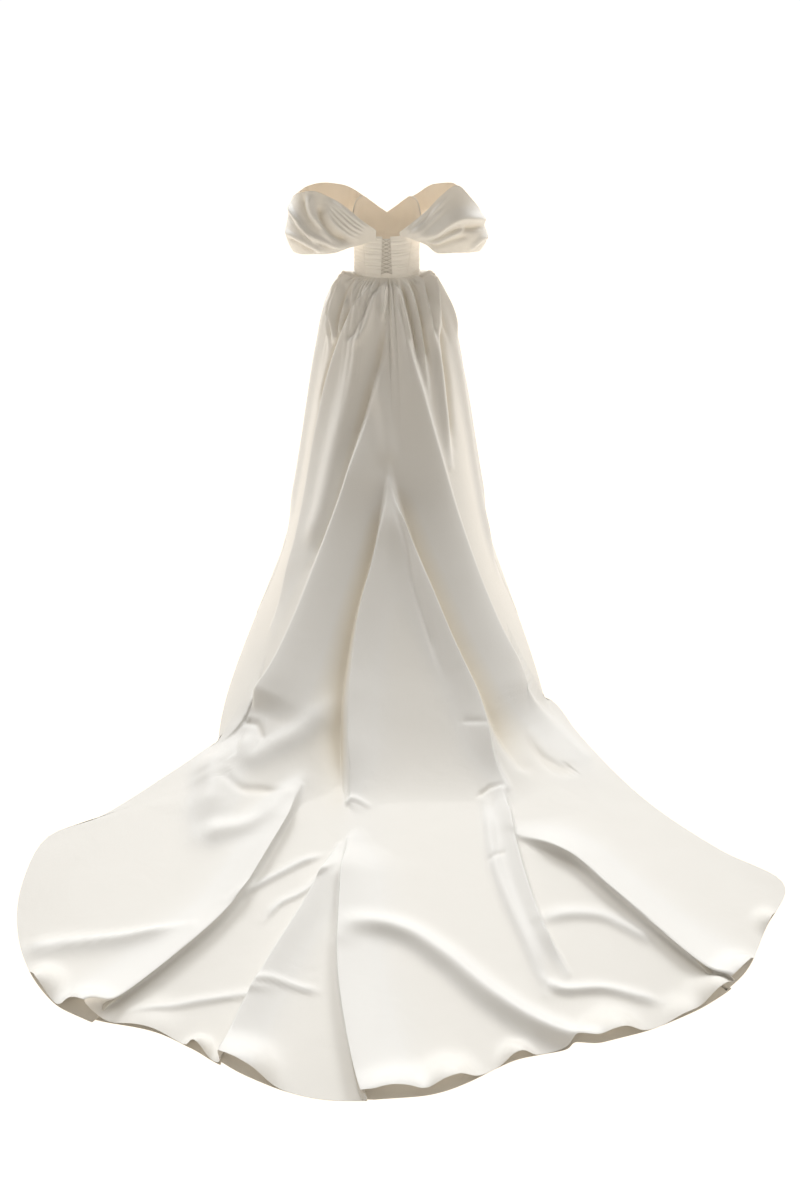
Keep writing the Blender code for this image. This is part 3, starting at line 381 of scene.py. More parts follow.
# Folds of the sleeves along four points, given as along (0 at the back seam, 1 at the front seam)
# and down (0 at the top edge, 1 at the bottom edge).
# name, height, upper_width, lower_width, then along and down from the start to the end
SLEEVE_FOLDS_LEFT = (
    ("bright_edge", 0.016, 0.022, 0.009, 0.535, 0.06, 0.413, 0.39, 0.32, 0.71, 0.13, 0.98),
    ("edge_trough", -0.01, 0.008, 0.01, 0.48, 0.28, 0.395, 0.56, 0.32, 0.8, 0.2, 0.97),
    ("second_edge", 0.008, 0.008, 0.007, 0.42, 0.46, 0.368, 0.6, 0.33, 0.76, 0.283, 0.96),
    ("lower_roll", 0.013, 0.016, 0.009, 0.51, 0.6, 0.44, 0.65, 0.37, 0.76, 0.288, 0.96),
    ("lower_trough", -0.008, 0.008, 0.008, 0.48, 0.7, 0.42, 0.76, 0.37, 0.88, 0.32, 0.97),
    ("soft_band", 0.014, 0.016, 0.012, 0.35, 0.02, 0.335, 0.31, 0.285, 0.58, 0.185, 0.91),
    ("band_trough", -0.009, 0.01, 0.008, 0.385, 0.05, 0.372, 0.26, 0.335, 0.46, 0.27, 0.66),
    ("deep_trough", -0.015, 0.008, 0.014, 0.3, 0.18, 0.297, 0.4, 0.255, 0.62, 0.15, 0.86),
    ("gather_1", 0.006, 0.007, 0.006, 0.265, 0.05, 0.19, 0.1, 0.11, 0.14, 0.03, 0.2),
    ("gather_2", 0.006, 0.006, 0.006, 0.268, 0.11, 0.217, 0.24, 0.143, 0.39, 0.052, 0.5),
    ("gather_3", 0.006, 0.006, 0.006, 0.27, 0.19, 0.245, 0.39, 0.182, 0.59, 0.098, 0.75),
    ("gather_4", 0.005, 0.005, 0.005, 0.268, 0.08, 0.205, 0.17, 0.13, 0.27, 0.045, 0.36),
    ("gather_5", 0.005, 0.005, 0.005, 0.27, 0.15, 0.232, 0.32, 0.165, 0.5, 0.07, 0.64),
    ("front_roll", 0.012, 0.014, 0.014, 0.56, 0.22, 0.68, 0.45, 0.82, 0.62, 0.94, 0.7),
    ("front_lower", 0.01, 0.014, 0.014, 0.6, 0.7, 0.7, 0.78, 0.8, 0.82, 0.9, 0.86),
)
SLEEVE_FOLDS_RIGHT = (
    ("upper_roll", 0.018, 0.03, 0.01, 0.56, 0.19, 0.4, 0.41, 0.265, 0.6, 0.06, 0.9),
    ("upper_trough", -0.012, 0.008, 0.012, 0.48, 0.42, 0.34, 0.62, 0.23, 0.72, 0.09, 0.88),
    ("middle_roll", 0.011, 0.012, 0.009, 0.37, 0.53, 0.338, 0.66, 0.27, 0.74, 0.13, 0.87),
    ("middle_trough", -0.007, 0.008, 0.01, 0.385, 0.7, 0.33, 0.78, 0.25, 0.84, 0.17, 0.93),
    ("outer_roll", 0.009, 0.012, 0.01, 0.52, 0.62, 0.468, 0.69, 0.432, 0.81, 0.41, 0.95),
    ("inner_gather_1", 0.006, 0.009, 0.008, 0.3, 0.1, 0.228, 0.18, 0.15, 0.35, 0.05, 0.62),
    ("inner_gather_2", 0.005, 0.008, 0.007, 0.29, 0.22, 0.225, 0.33, 0.15, 0.5, 0.06, 0.74),
    ("inner_gather_3", 0.005, 0.007, 0.007, 0.2, 0.04, 0.15, 0.1, 0.1, 0.22, 0.04, 0.42),
    ("front_roll", 0.012, 0.014, 0.014, 0.56, 0.22, 0.68, 0.45, 0.82, 0.62, 0.94, 0.7),
    ("front_lower", 0.01, 0.014, 0.014, 0.6, 0.7, 0.7, 0.78, 0.8, 0.82, 0.9, 0.86),
)

# Colours of the shade painted into the hollows of the cloth, and the colour of the laces with the shade
# painted on them.
SATIN_PAINTED_SHADE = (0.80, 0.74, 0.63)
LINING_PAINTED_SHADE = (0.74, 0.61, 0.46)
CORD_COLOUR = (0.62, 0.59, 0.54)
CORD_PAINTED_SHADE = (0.5, 0.46, 0.4)

# The two cords that cross over the gap at the centre back.
# name, first_side, rise_where_they_cross
LACES = (
    ("lace_over", -1.0, 0.0025),
    ("lace_under", 1.0, 0.0),
)
LACE_RADIUS = 0.0012
LACE_TURNS = 9
LACE_TOP = 0.134
LACE_BOTTOM = 0.012
LACE_HALF_TOP = 0.0135
LACE_HALF_BOTTOM = 0.0210
LACE_OUT = 0.0025
SLEEVE_OUT = 0.0029

# The lamps of the studio.
# name, place, aim, width, height, power, spread
LAMPS = (
    ("left_key", (-2.6, 3.0, 3.6), (0.0, -1.5, -1.1), 3.0, 2.5, 190.0, 180.0),
    ("right_key", (2.6, 3.0, 3.6), (0.0, -1.5, -1.1), 3.0, 2.5, 190.0, 180.0),
    ("train_softbox", (0.0, -2.60, 3.2), (0.0, -2.35, -1.1), 2.4, 1.0, 0.9, 32.0),
    ("left_softbox", (-4.2, 0.2, 1.2), (0.0, -0.2, -0.5), 2.5, 2.5, 6.0, 180.0),
    ("right_softbox", (4.2, 0.2, 1.2), (0.0, -0.2, -0.5), 2.5, 2.5, 6.0, 180.0),
)

# The camera: its place, how far it looks down in degrees and its lens in millimetres.
CAMERA_PLACE = (0.050, -3.398, 0.716)
CAMERA_DOWN = 33.0
CAMERA_LENS = 25.5

# How a fold fades: the power of its flanks, that of a flank far wider than the other, how many
# times wider that is, the share of its length at an end, and how far it pulls the hem back.
NARROW_POWER = 2.0
WIDE_POWER = 1.4
WIDE_FROM = 1.9
END_SHARE = 0.18
HEM_PULL = 0.010

# Gathers that fan out from the waist, in the same columns as the folds.
GATHERS = (
    ("left_rib_1", 0.014, 0.014, 0.007, 0.006, 0.2,
     -0.553, 0.022, -0.424, 0.044, -0.406, 0.075, -0.39, 0.108, -0.347, 0.156),
    ("left_rib_2", 0.014, 0.014, 0.007, 0.006, 0.2,
     -0.43, 0.006, -0.356, 0.036, -0.351, 0.058, -0.347, 0.092, -0.31, 0.133),
    ("left_rib_3", 0.013, 0.013, 0.006, 0.008, 0.0,
     -0.274, 0.061, -0.253, 0.086, -0.264, 0.108, -0.266, 0.136, -0.28, 0.161),
    ("left_rib_4", 0.01, 0.01, 0.006, 0.01, 0.0,
     -0.3, 0.004, -0.262, 0.024, -0.24, 0.045, -0.232, 0.06, -0.236, 0.078),
    ("left_rib_5", 0.009, 0.009, 0.006, 0.006, 0.0,
     -0.142, 0.008, -0.145, 0.02, -0.158, 0.034, -0.168, 0.047, -0.18, 0.06),
    ("left_rib_6", 0.008, 0.008, 0.005, 0.005, 0.0,
     -0.112, 0.004, -0.116, 0.012, -0.124, 0.02, -0.132, 0.028, -0.14, 0.036),
    ("left_rib_7", 0.008, 0.008, 0.005, 0.005, 0.0,
     -0.086, 0.003, -0.09, 0.01, -0.096, 0.016, -0.103, 0.022, -0.11, 0.027),
    ("left_outer_dip", -0.018, -0.018, 0.011, 0.01, 0.0,
     -0.24, 0.07, -0.238, 0.1, -0.262, 0.14, -0.29, 0.2, -0.322, 0.29),
    ("left_dip_1", -0.013, -0.013, 0.008, 0.008, 0.0,
     -0.4, 0.02, -0.38, 0.055, -0.375, 0.09, -0.35, 0.13, -0.318, 0.165),
    ("left_dip_2", -0.013, -0.013, 0.008, 0.008, 0.0,
     -0.34, 0.03, -0.316, 0.055, -0.312, 0.085, -0.305, 0.11, -0.285, 0.14),
    ("centre_soft", 0.014, 0.014, 0.011, 0.014, 0.0,
     -0.043, 0.017, -0.075, 0.036, -0.091, 0.067, -0.121, 0.086, -0.148, 0.106),
    ("centre_dip", -0.013, -0.013, 0.01, 0.008, 0.0,
     -0.06, 0.012, -0.104, 0.034, -0.128, 0.058, -0.158, 0.084, -0.19, 0.11),
    ("centre_tip", 0.016, 0.016, 0.01, 0.008, 0.0,
     0.0, 0.006, -0.006, 0.018, -0.012, 0.032, -0.016, 0.046, -0.022, 0.06),
    ("right_tip", 0.014, 0.014, 0.01, 0.008, 0.0,
     0.056, 0.008, 0.095, 0.034, 0.106, 0.055, 0.115, 0.078, 0.124, 0.1),
    ("right_dip_1", -0.014, -0.014, 0.008, 0.006, 0.0,
     0.11, 0.004, 0.13, 0.024, 0.14, 0.05, 0.143, 0.08, 0.148, 0.115),
    ("right_rib_1", 0.016, 0.016, 0.006, 0.008, -0.2,
     0.173, 0.002, 0.16, 0.022, 0.168, 0.053, 0.167, 0.086, 0.169, 0.13),
    ("right_dip_2", -0.016, -0.016, 0.007, 0.01, 0.0,
     0.23, 0.002, 0.205, 0.024, 0.2, 0.055, 0.198, 0.09, 0.2, 0.14),
    ("right_rib_2", 0.016, 0.016, 0.007, 0.008, -0.2,
     0.341, 0.002, 0.276, 0.022, 0.253, 0.047, 0.238, 0.089, 0.238, 0.144),
    ("right_dip_3", -0.014, -0.014, 0.008, 0.01, 0.0,
     0.43, 0.006, 0.32, 0.028, 0.286, 0.058, 0.268, 0.096, 0.268, 0.15),
    ("right_rib_3", 0.016, 0.016, 0.008, 0.01, -0.2,
     0.5, 0.004, 0.373, 0.036, 0.324, 0.072, 0.304, 0.106, 0.302, 0.167),
    ("right_dip_4", -0.013, -0.013, 0.01, 0.01, 0.0,
     0.47, 0.02, 0.4, 0.045, 0.378, 0.08, 0.368, 0.12, 0.366, 0.17),
    ("right_rib_4", 0.013, 0.013, 0.01, 0.011, 0.0,
     0.553, 0.022, 0.433, 0.053, 0.437, 0.097, 0.437, 0.139, 0.44, 0.19),
)

# Small creases of the skirt, in the same columns as its folds.
CREASES = (
    ("cone_inner_crease", -0.008, -0.008, 0.01, 0.01, 0.0,
     0.017, 0.315, 0.042, 0.38, 0.057, 0.445, 0.073, 0.5, 0.085, 0.555),
    ("centre_back_line", -0.006, -0.006, 0.008, 0.008, 0.0,
     0.003, 0.02, 0.003, 0.05, 0.012, 0.08, 0.017, 0.11, 0.015, 0.14),
    ("left_swag_trough", -0.008, -0.005, 0.014, 0.012, 0.0,
     -0.183, 0.831, -0.166, 0.775, -0.147, 0.744, -0.124, 0.719, -0.1, 0.714),
    ("left_edge_crease", -0.012, -0.003, 0.011, 0.012, 0.0,
     -0.222, 0.89, -0.212, 0.853, -0.196, 0.795, -0.179, 0.736, -0.155, 0.678),
    ("star_crease", 0.012, 0.008, 0.012, 0.014, 0.0,
     0.066, 0.938, 0.07, 0.95, 0.084, 0.956, 0.092, 0.968, 0.099, 0.983),
    ("touch_centre", 0.007, 0.002, 0.006, 0.01, 0.0,
     -0.037, 0.714, -0.035, 0.706, -0.028, 0.703, -0.019, 0.706, -0.011, 0.711),
    ("right_foot", -0.008, -0.005, 0.016, 0.022, 0.0,
     0.212, 0.895, 0.203, 0.858, 0.201, 0.838, 0.205, 0.822, 0.212, 0.808),
    ("flat_crease_1", 0.008, 0.008, 0.008, 0.014, 0.0,
     -0.087, 0.872, -0.078, 0.847, -0.065, 0.817, -0.055, 0.797, -0.043, 0.781),
    ("flat_crease_2", 0.007, 0.007, 0.006, 0.012, 0.0,
     -0.063, 0.872, -0.059, 0.85, -0.05, 0.833, -0.042, 0.814, -0.033, 0.792),
    ("hem_wrinkle_1", 0.006, 0.006, 0.006, 0.01, 0.0,
     -0.055, 0.933, -0.047, 0.922, -0.035, 0.919, -0.027, 0.917),
    ("hem_wrinkle_2", 0.006, 0.006, 0.008, 0.012, 0.0,
     -0.095, 0.989, -0.085, 0.981, -0.073, 0.964, -0.059, 0.944, -0.046, 0.928),
    ("strip_crumple_1", -0.006, -0.004, 0.005, 0.007, 0.0,
     0.099, 0.717, 0.108, 0.712, 0.118, 0.708, 0.127, 0.71, 0.134, 0.714),
    ("strip_crumple_2", -0.004, -0.003, 0.005, 0.007, 0.0,
     0.07, 0.806, 0.075, 0.803, 0.079, 0.8, 0.087, 0.797),
    ("strip_crumple_3", -0.003, -0.002, 0.008, 0.01, 0.0,
     0.102, 0.622, 0.109, 0.623, 0.116, 0.625, 0.128, 0.632, 0.139, 0.642),
)


def between(share, step, start, start_slope, end, end_slope):
    """A smooth value at a share of one step, from the values and slopes at its ends."""
    return (
        (2 * share**3 - 3 * share**2 + 1) * start
        + (share**3 - 2 * share**2 + share) * step * start_slope
        + (3 * share**2 - 2 * share**3) * end
        + (share**3 - share**2) * step * end_slope
    )


def smooth_curve(points, count):
    """Points at even distances along a smooth curve through the given points."""
    points = np.asarray(points, float)
    steps = np.linalg.norm(np.diff(points, axis=0), axis=1) + 1e-9
    reach = np.concatenate(([0.0], np.cumsum(steps)))
    slopes = np.zeros_like(points)
    slopes[0] = (points[1] - points[0]) / steps[0]
    slopes[-1] = (points[-1] - points[-2]) / steps[-1]
    for i in range(1, len(points) - 1):
        before = (points[i] - points[i - 1]) / steps[i - 1]
        after = (points[i + 1] - points[i]) / steps[i]
        share = steps[i - 1] / (steps[i - 1] + steps[i])
        slopes[i] = before * (1.0 - share) + after * share
    at = np.linspace(0.0, reach[-1], count)
    k = np.clip(np.searchsorted(reach, at, side="right") - 1, 0, len(points) - 2)
    share = ((at - reach[k]) / steps[k])[:, None]
    return between(share, steps[k][:, None], points[k], slopes[k], points[k + 1], slopes[k + 1])


def even_shares(points, count):
    """The same line with its points moved to even shares of its length."""
    steps = np.linalg.norm(np.diff(points, axis=0), axis=1)
    reach = np.concatenate(([0.0], np.cumsum(steps)))
    at = np.linspace(0.0, reach[-1], count)
    return np.stack([np.interp(at, reach, points[:, i]) for i in range(points.shape[1])], axis=1)


def smooth_value(at, known, values):
    """A smooth value between rows of a table."""
    known = np.asarray(known, float)
    values = np.asarray(values, float)
    steps = np.diff(known)
    rates = np.diff(values) / steps
    slopes = np.zeros_like(values)
    slopes[0] = rates[0]
    slopes[-1] = rates[-1]
    same = rates[:-1] * rates[1:] > 0.0
    inner = np.zeros(len(values) - 2)
    inner[same] = 2.0 * rates[:-1][same] * rates[1:][same] / (rates[:-1][same] + rates[1:][same])
    slopes[1:-1] = inner
    at = np.clip(np.asarray(at, float), known[0], known[-1])
    k = np.clip(np.searchsorted(known, at, side="right") - 1, 0, len(known) - 2)
    share = (at - known[k]) / steps[k]
    return between(share, steps[k], values[k], slopes[k], values[k + 1], slopes[k + 1])


def ease(value):
    """A soft step from 0 to 1."""
    value = np.clip(value, 0.0, 1.0)
    return value * value * (3.0 - 2.0 * value)


def unit(vectors):
    """The same directions with a length of 1."""
    return vectors / (np.linalg.norm(vectors, axis=-1, keepdims=True) + 1e-12)


def half_ring(row, count):
    """One side of a level ring of the skirt, from the centre back to the centre front."""
    half_width, front, back, square, flare = row[2:]
    angle = np.linspace(0.0, math.pi, RING_POINTS)
    rear = np.cos(angle) > 0.0
    power = np.where(rear, 2.0 / square, 1.0)
    depth = np.where(rear, back, front)
    x = half_width * np.abs(np.sin(angle)) ** power
    y = -depth * np.sign(np.cos(angle)) * np.abs(np.cos(angle)) ** power
    x = x * (1.0 + flare * np.clip(-y / back, 0.0, 1.0))
    return even_shares(np.stack([x, y], axis=1), count)


def skirt_lattice():
    """Base points of the skirt and train before its folds, by around and run."""
    side_count = LATTICE_AROUND // 2 + 1
    around = np.linspace(0.0, 1.0, side_count) ** 1.5
    rings = [half_ring(row, RING_POINTS) for row in SECTIONS]
    at = around * (RING_POINTS - 1)
    low = np.clip(at.astype(int), 0, RING_POINTS - 2)
    part = (at - low)[:, None]
    rings = [ring[low] * (1.0 - part) + ring[low + 1] * part for ring in rings]
    halves = []
    for side, hem_table, hem_shares in ((-1.0, HEM_LEFT, SHARES_LEFT), (1.0, HEM_RIGHT, SHARES_RIGHT)):
        hem_start = hem_shares[-1][0]
        mirrored = [ring * np.array([side, 1.0]) for ring in rings]
        floor_ring = mirrored[-1]
        start = np.array([np.interp(hem_start, around, floor_ring[:, i]) for i in range(2)])
        hem = smooth_curve(np.vstack([start[None, :], np.asarray(hem_table)]), HEM_POINTS)
        hem = even_shares(hem, HEM_POINTS)
        lines = []
        for i, share in enumerate(around):
            points = [(ring[i][0], ring[i][1], row[1]) for ring, row in zip(mirrored, SECTIONS)]
            if share < hem_start:
                reached = smooth_value(share, *zip(*hem_shares))
                end = hem[int(round(float(reached) * (HEM_POINTS - 1)))]
                if np.linalg.norm(end - floor_ring[i]) > SHORTEST_TRAIN:
                    for step in FLOOR_STEPS:
                        flat = floor_ring[i] * (1.0 - step) + end * step
                        points.append((flat[0], flat[1], LYING))
            lines.append(even_shares(smooth_curve(points, LINE_POINTS), LATTICE_RUN))
        halves.append(np.asarray(lines))
    middle = 0.5 * (halves[0][0] + halves[1][0])
    halves[0][0] = middle
    halves[1][0] = middle
    lattice = np.concatenate([halves[0][::-1], halves[1][1:]], axis=0)
    places = np.concatenate([-around[::-1], around[1:]])
    return places, lattice


PLACES, LATTICE = skirt_lattice()


def base_point(around, run):
    """Points of the skirt before its folds, at arrays of around and run."""
    around = np.clip(around, -1.0, 1.0)
    i = np.clip(np.searchsorted(PLACES, around, side="right") - 1, 0, len(PLACES) - 2)
    fi = ((around - PLACES[i]) / (PLACES[i + 1] - PLACES[i]))[..., None]
    at = np.clip(run, 0.0, 1.0) * (LATTICE_RUN - 1)
    j = np.clip(at.astype(int), 0, LATTICE_RUN - 2)
    fj = (at - j)[..., None]
    near = LATTICE[i, j] * (1.0 - fj) + LATTICE[i, j + 1] * fj
    far = LATTICE[i + 1, j] * (1.0 - fj) + LATTICE[i + 1, j + 1] * fj
    return near * (1.0 - fi) + far * fi


def base_normal(around, run):
    """Outward directions of the skirt before its folds."""
    wide = 0.004
    long = 0.008
    across = base_point(around + wide, run) - base_point(around - wide, run)
    lower = base_point(around, np.minimum(run + long, 1.0))
    upper = base_point(around, np.maximum(run - long, 0.0))
    return unit(np.cross(lower - upper, across))


def torso_points(angle, height, outside=0.0):
    """Points of the bodice wall at arrays of angle and height."""
    heights = [row[1] for row in TORSO]
    half_width = smooth_value(height, heights, [row[2] for row in TORSO])
    front = smooth_value(height, heights, [row[3] for row in TORSO])
    back = smooth_value(height, heights, [row[4] for row in TORSO])
    turn = np.radians(angle)
    depth = np.where(np.cos(turn) > 0.0, back, front)
    away = np.abs(np.abs((angle % 360.0) - 180.0) - CUP_ANGLE)
    level = (height - CUP_HEIGHT) / CUP_TALL
    cup = CUP_DEPTH * np.exp(-((away / CUP_WIDE) ** 2)) * np.exp(-(level**2))
    x = (half_width + outside + cup) * np.sin(turn)
    y = -(depth + outside + cup) * np.cos(turn)
    return np.stack([x, y, np.broadcast_to(height, x.shape)], axis=-1)


def torso_outward(angle, height, outside=0.0):
    """Outward directions of the bodice wall."""
    return torso_points(angle, height, outside + 1.0) - torso_points(angle, height, outside)


def torso_depth(x, height, in_front):
    """Where a sleeve lies against the bodice at x and height, and whether the bodice is there."""
    turn = np.arcsin(np.clip(x / 0.15, -0.9, 0.9))
    for _ in range(6):
        angle = 180.0 - np.degrees(turn) if in_front else np.degrees(turn)
        places = torso_points(angle, height, SLEEVE_OUT)
        half_width = places[..., 0] / np.where(np.abs(np.sin(turn)) < 1e-6, 1e-6, np.sin(turn))
        turn = np.arcsin(np.clip(x / half_width, -0.97, 0.97))
    return places[..., 1], np.abs(x) < 0.97 * half_width


def top_edge(angle):
    """Height of the top edge of the bodice."""
    turned = np.abs(((np.asarray(angle, float) + 180.0) % 360.0) - 180.0)
    return smooth_value(turned, *zip(*TOP_EDGE))


def place_on(line, share):
    """Points at shares of the way along a line."""
    reach = np.linspace(0.0, 1.0, len(line))
    return np.stack([np.interp(share, reach, values) for values in line.T], axis=-1)


def sleeve_base(table, along, down):
    """Points of a sleeve before its folds."""
    spots = np.asarray([row[1:3] for row in table])
    spine = smooth_curve(spots, 241)
    shares = np.linspace(0.0, 1.0, len(table))
    top, bottom, puff = (smooth_value(along, shares, [row[i] for row in table]) for i in (3, 4, 5))
    steps = np.linalg.norm(np.diff(spots, axis=0), axis=1)
    length_shares = np.concatenate(([0.0], np.cumsum(steps))) / steps.sum()
    at = smooth_value(along, shares, length_shares)
    small = 0.01
    way = place_on(spine, np.minimum(at + small, 1.0)) - place_on(spine, np.maximum(at - small, 0.0))
    way = unit(way)
    side = 1.0 if table[0][1] > 0.0 else -1.0
    out = np.stack([way[..., 1], -way[..., 0]], axis=-1) * side
    down = np.clip(down, 0.0, 1.0)
    bulge = puff * (np.sin(math.pi * down**1.5) + 0.45 * down)
    z = top * (1.0 - down) + bottom * down
    spot = place_on(spine, at) + out * bulge[..., None]
    x = spot[..., 0]
    y = spot[..., 1]
    seated_back, over_back = torso_depth(x, z, False)
    seated_front, over_front = torso_depth(x, z, True)
    y = y + (seated_back - y) * (1.0 - ease((along - 0.02) / 0.10))
    y = y + (seated_front - y) * ease((along - 0.88) / 0.10)
    y = np.where(over_back & (along < 0.5), np.minimum(y, seated_back), y)
    y = np.where(over_front & (along > 0.5), np.maximum(y, seated_front), y)
    return np.stack([x, y, z], axis=-1)


def sleeve_points(table, folds, along, down):
    """Points of a sleeve with its folds."""
    base = sleeve_base(table, along, down)
    small = 0.01
    across = sleeve_base(table, np.minimum(along + small, 1.0), down)
    across = across - sleeve_base(table, np.maximum(along - small, 0.0), down)
    fall = sleeve_base(table, along, np.minimum(down + small, 1.0))
    fall = fall - sleeve_base(table, along, np.maximum(down - small, 0.0))
    side = 1.0 if table[0][1] > 0.0 else -1.0
    normal = unit(np.cross(fall, across) * side)
    moved = np.zeros_like(base)
    for row in folds:
        height, upper_width, lower_width = row[1:4]
        nodes = smooth_curve(np.asarray(row[4:], float).reshape(-1, 2), 25)
        line = sleeve_base(table, nodes[:, 0], nodes[:, 1])
        moved += fold_move(base, normal, line, (height, height, upper_width, lower_width, 0.0), False)
    fade = ease(along / 0.12) * ease((1.0 - along) / 0.12)
    return base + moved * fade[..., None], np.einsum("...i,...i", moved, normal)


class GownSizes(bpy.types.PropertyGroup):
    """Sizes and colours of the gown's cloth that a user would change."""

    wall: bpy.props.FloatProperty(
        name="Cloth thickness",
        description="Thickness of the satin of the front, the bodice and the sleeves",
        default=0.0018,
        min=0.0005,
        max=0.003,
        unit="LENGTH",
    )
    satin: bpy.props.FloatVectorProperty(
        name="Satin",
        description="Colour of the satin",
        default=(0.84, 0.825, 0.79),
        subtype="COLOR",
        size=3,
        min=0.0,
        max=1.0,
    )
    lining: bpy.props.FloatVectorProperty(
        name="Lining",
        description="Colour of the lining",
        default=(0.95, 0.87, 0.76),
        subtype="COLOR",
        size=3,
        min=0.0,
        max=1.0,
    )
    lace: bpy.props.FloatProperty(
        name="Lace radius",
        description="Radius of the lacing cord",
        default=LACE_RADIUS,
        min=0.0005,
        max=0.002,
        unit="LENGTH",
    )


def sizes():
    """The sizes set for this gown."""
    return bpy.context.scene.gown_sizes


def fold_move(points, normals, line, form, to_hem):
    """How one fold moves the points: out along the normals, and sideways where it leans."""
    height, end_height, left_width, right_width, lean = form
    flat = points.reshape(-1, 3)
    up = normals.reshape(-1, 3)
    reach = 3.2 * max(left_width, right_width)
    near = np.all((flat > line.min(axis=0) - reach) & (flat < line.max(axis=0) + reach), axis=1)
    result = np.zeros_like(flat)
    chosen = flat[near]
    if not len(chosen):
        return result.reshape(points.shape)
    starts = line[:-1]
    legs = line[1:] - starts
    lengths = np.einsum("ij,ij->i", legs, legs) + 1e-12
    best = np.full(len(chosen), 1e9)
    side = np.zeros(len(chosen))
    share = np.zeros(len(chosen))
    way = np.zeros_like(chosen)
    total = len(legs)
    for k in range(total):
        offset = chosen - starts[k]
        along = np.clip(offset @ legs[k] / lengths[k], 0.0, 1.0)
        gap = offset - along[:, None] * legs[k]
        distance = np.einsum("ij,ij->i", gap, gap)
        closer = distance < best
        turn = np.einsum("ij,ij->i", np.cross(np.broadcast_to(legs[k], gap.shape), gap), up[near])
        turn = turn / np.sqrt(lengths[k] * distance + 1e-12)
        best = np.where(closer, distance, best)
        side = np.where(closer, turn, side)
        share = np.where(closer, (k + along) / total, share)
        way[closer] = legs[k] / math.sqrt(lengths[k])
    distance = np.sqrt(best)
    right = ease(0.5 + 0.5 * side)
    left_power = WIDE_POWER if left_width > WIDE_FROM * right_width else NARROW_POWER
    right_power = WIDE_POWER if right_width > WIDE_FROM * left_width else NARROW_POWER
    shape = np.exp(-((distance / left_width) ** left_power)) * (1.0 - right)
    shape = shape + np.exp(-((distance / right_width) ** right_power)) * right
    ends = ease(share / END_SHARE) * 0.8 + 0.2
    if not to_hem:
        ends = ends * (ease((1.0 - share) / END_SHARE) * 0.8 + 0.2)
    shape = (height + (end_height - height) * share) * shape * ends
    moved = up[near] * shape[:, None]
    if lean:
        sideways = np.cross(way, up[near])
        roll = lean * (1.0 + 1.1 * ease((share - 0.55) / 0.45)) if to_hem else lean
        moved = moved + sideways * (roll * shape * np.abs(shape) / abs(height))[:, None]
    if to_hem:
        pull = HEM_PULL * ease((share - 0.80) / 0.20) * (shape / height) ** 2
        moved = moved - way * pull[:, None]
    result[near] = moved
    return result.reshape(points.shape)


def waist_pleats(around, run):
    """How far the fine pleats below the waist stand out. They differ in width and length."""
    turn = 27.0 * np.abs(around) + 0.9 * np.sin(9.0 * around) + 0.5 * np.sin(23.0 * around + 1.0)
    uneven = 0.65 + 0.35 * np.sin(17.0 * around + 2.0)
    reach = 0.19 + 0.07 * np.sin(31.0 * around)
    full = (np.abs(np.sin(math.pi * turn)) - 0.55) * uneven
    return 0.0120 * (full * ease(run / 0.012) * (1.0 - ease(run / reach)))


def skirt_sheet(around, run):
    """Points of the skirt with its folds and creases, and how far each stands out."""
    base = base_point(around, run)
    normal = base_normal(around, run)
    moved = np.zeros_like(base)
    for row in FOLDS + GATHERS + CREASES:
        nodes = smooth_curve(np.asarray(row[6:], float).reshape(-1, 2), 49)
        line = base_point(nodes[:, 0], nodes[:, 1])
        for _ in range(8):
            line[1:-1] = 0.25 * line[:-2] + 0.5 * line[1:-1] + 0.25 * line[2:]
        moved += fold_move(base, normal, line, row[1:6], row[-1] > 0.99)
    for place, ends_at, height, width in PLEATS:
        line = base_point(np.full(31, place), np.linspace(0.0, ends_at, 31))
        moved += fold_move(base, normal, line, (height, height, width, width, 0.0), False)
    moved = moved * ease(run / 0.025)[..., None]
    moved = moved + normal * waist_pleats(around, run)[..., None]
    stands = np.einsum("...i,...i", moved, normal)
    points = base + moved
    for place, half_width, lift in CURLS:
        centre = base_point(np.array([place]), np.array([1.0]))[0]
        away = np.linalg.norm(base - centre, axis=-1)
        points[..., 2] += lift * np.exp(-((away / half_width) ** 2.6))
    points[..., 2] = np.maximum(points[..., 2], LYING)
    return points, stands


def hem_facing(places):
    """Points of the facing turned under at the hem, from the hem inwards, below the open folds."""
    low = np.nonzero(places[:, -1, 2] < FACING_BELOW)[0]
    low = low[places[low, -1, 1] < FACING_FROM]
    places = places[low.min():low.max() + 1]
    away = np.linalg.norm(places - places[:, -1:], axis=-1)
    shares = np.linspace(0.0, 1.0, 16)
    made = np.zeros((len(places), len(shares), 3))
    for i, line in enumerate(places):
        inward = np.maximum.accumulate(away[i][::-1])
        for k in range(3):
            made[i, :, k] = np.interp(shares * FACING_WIDTH, inward, line[::-1, k])
    lift = (made[..., 2] - LYING) * (0.06 + 0.88 * shares**1.6)[None, :]
    made[..., 2] = LYING - 0.0009 + np.maximum(lift, 0.0)
    return made


def guided(guides, counts, runs, side):
    """The around and run of a grid whose columns follow the guides."""
    lines = [smooth_value(runs, GUIDE_RUNS, row[1:]) for row in guides]
    columns = []
    for i, count in enumerate(counts):
        for step in range(count):
            share = step / count
            share = share - 0.5 * math.sin(2.0 * math.pi * share) / (2.0 * math.pi)
            columns.append(lines[i] * (1.0 - share) + lines[i + 1] * share)
    columns.append(lines[-1])
    around = side * np.stack(columns)
    if side < 0.0:
        around = around[::-1]
    return around, np.broadcast_to(runs, around.shape).copy()


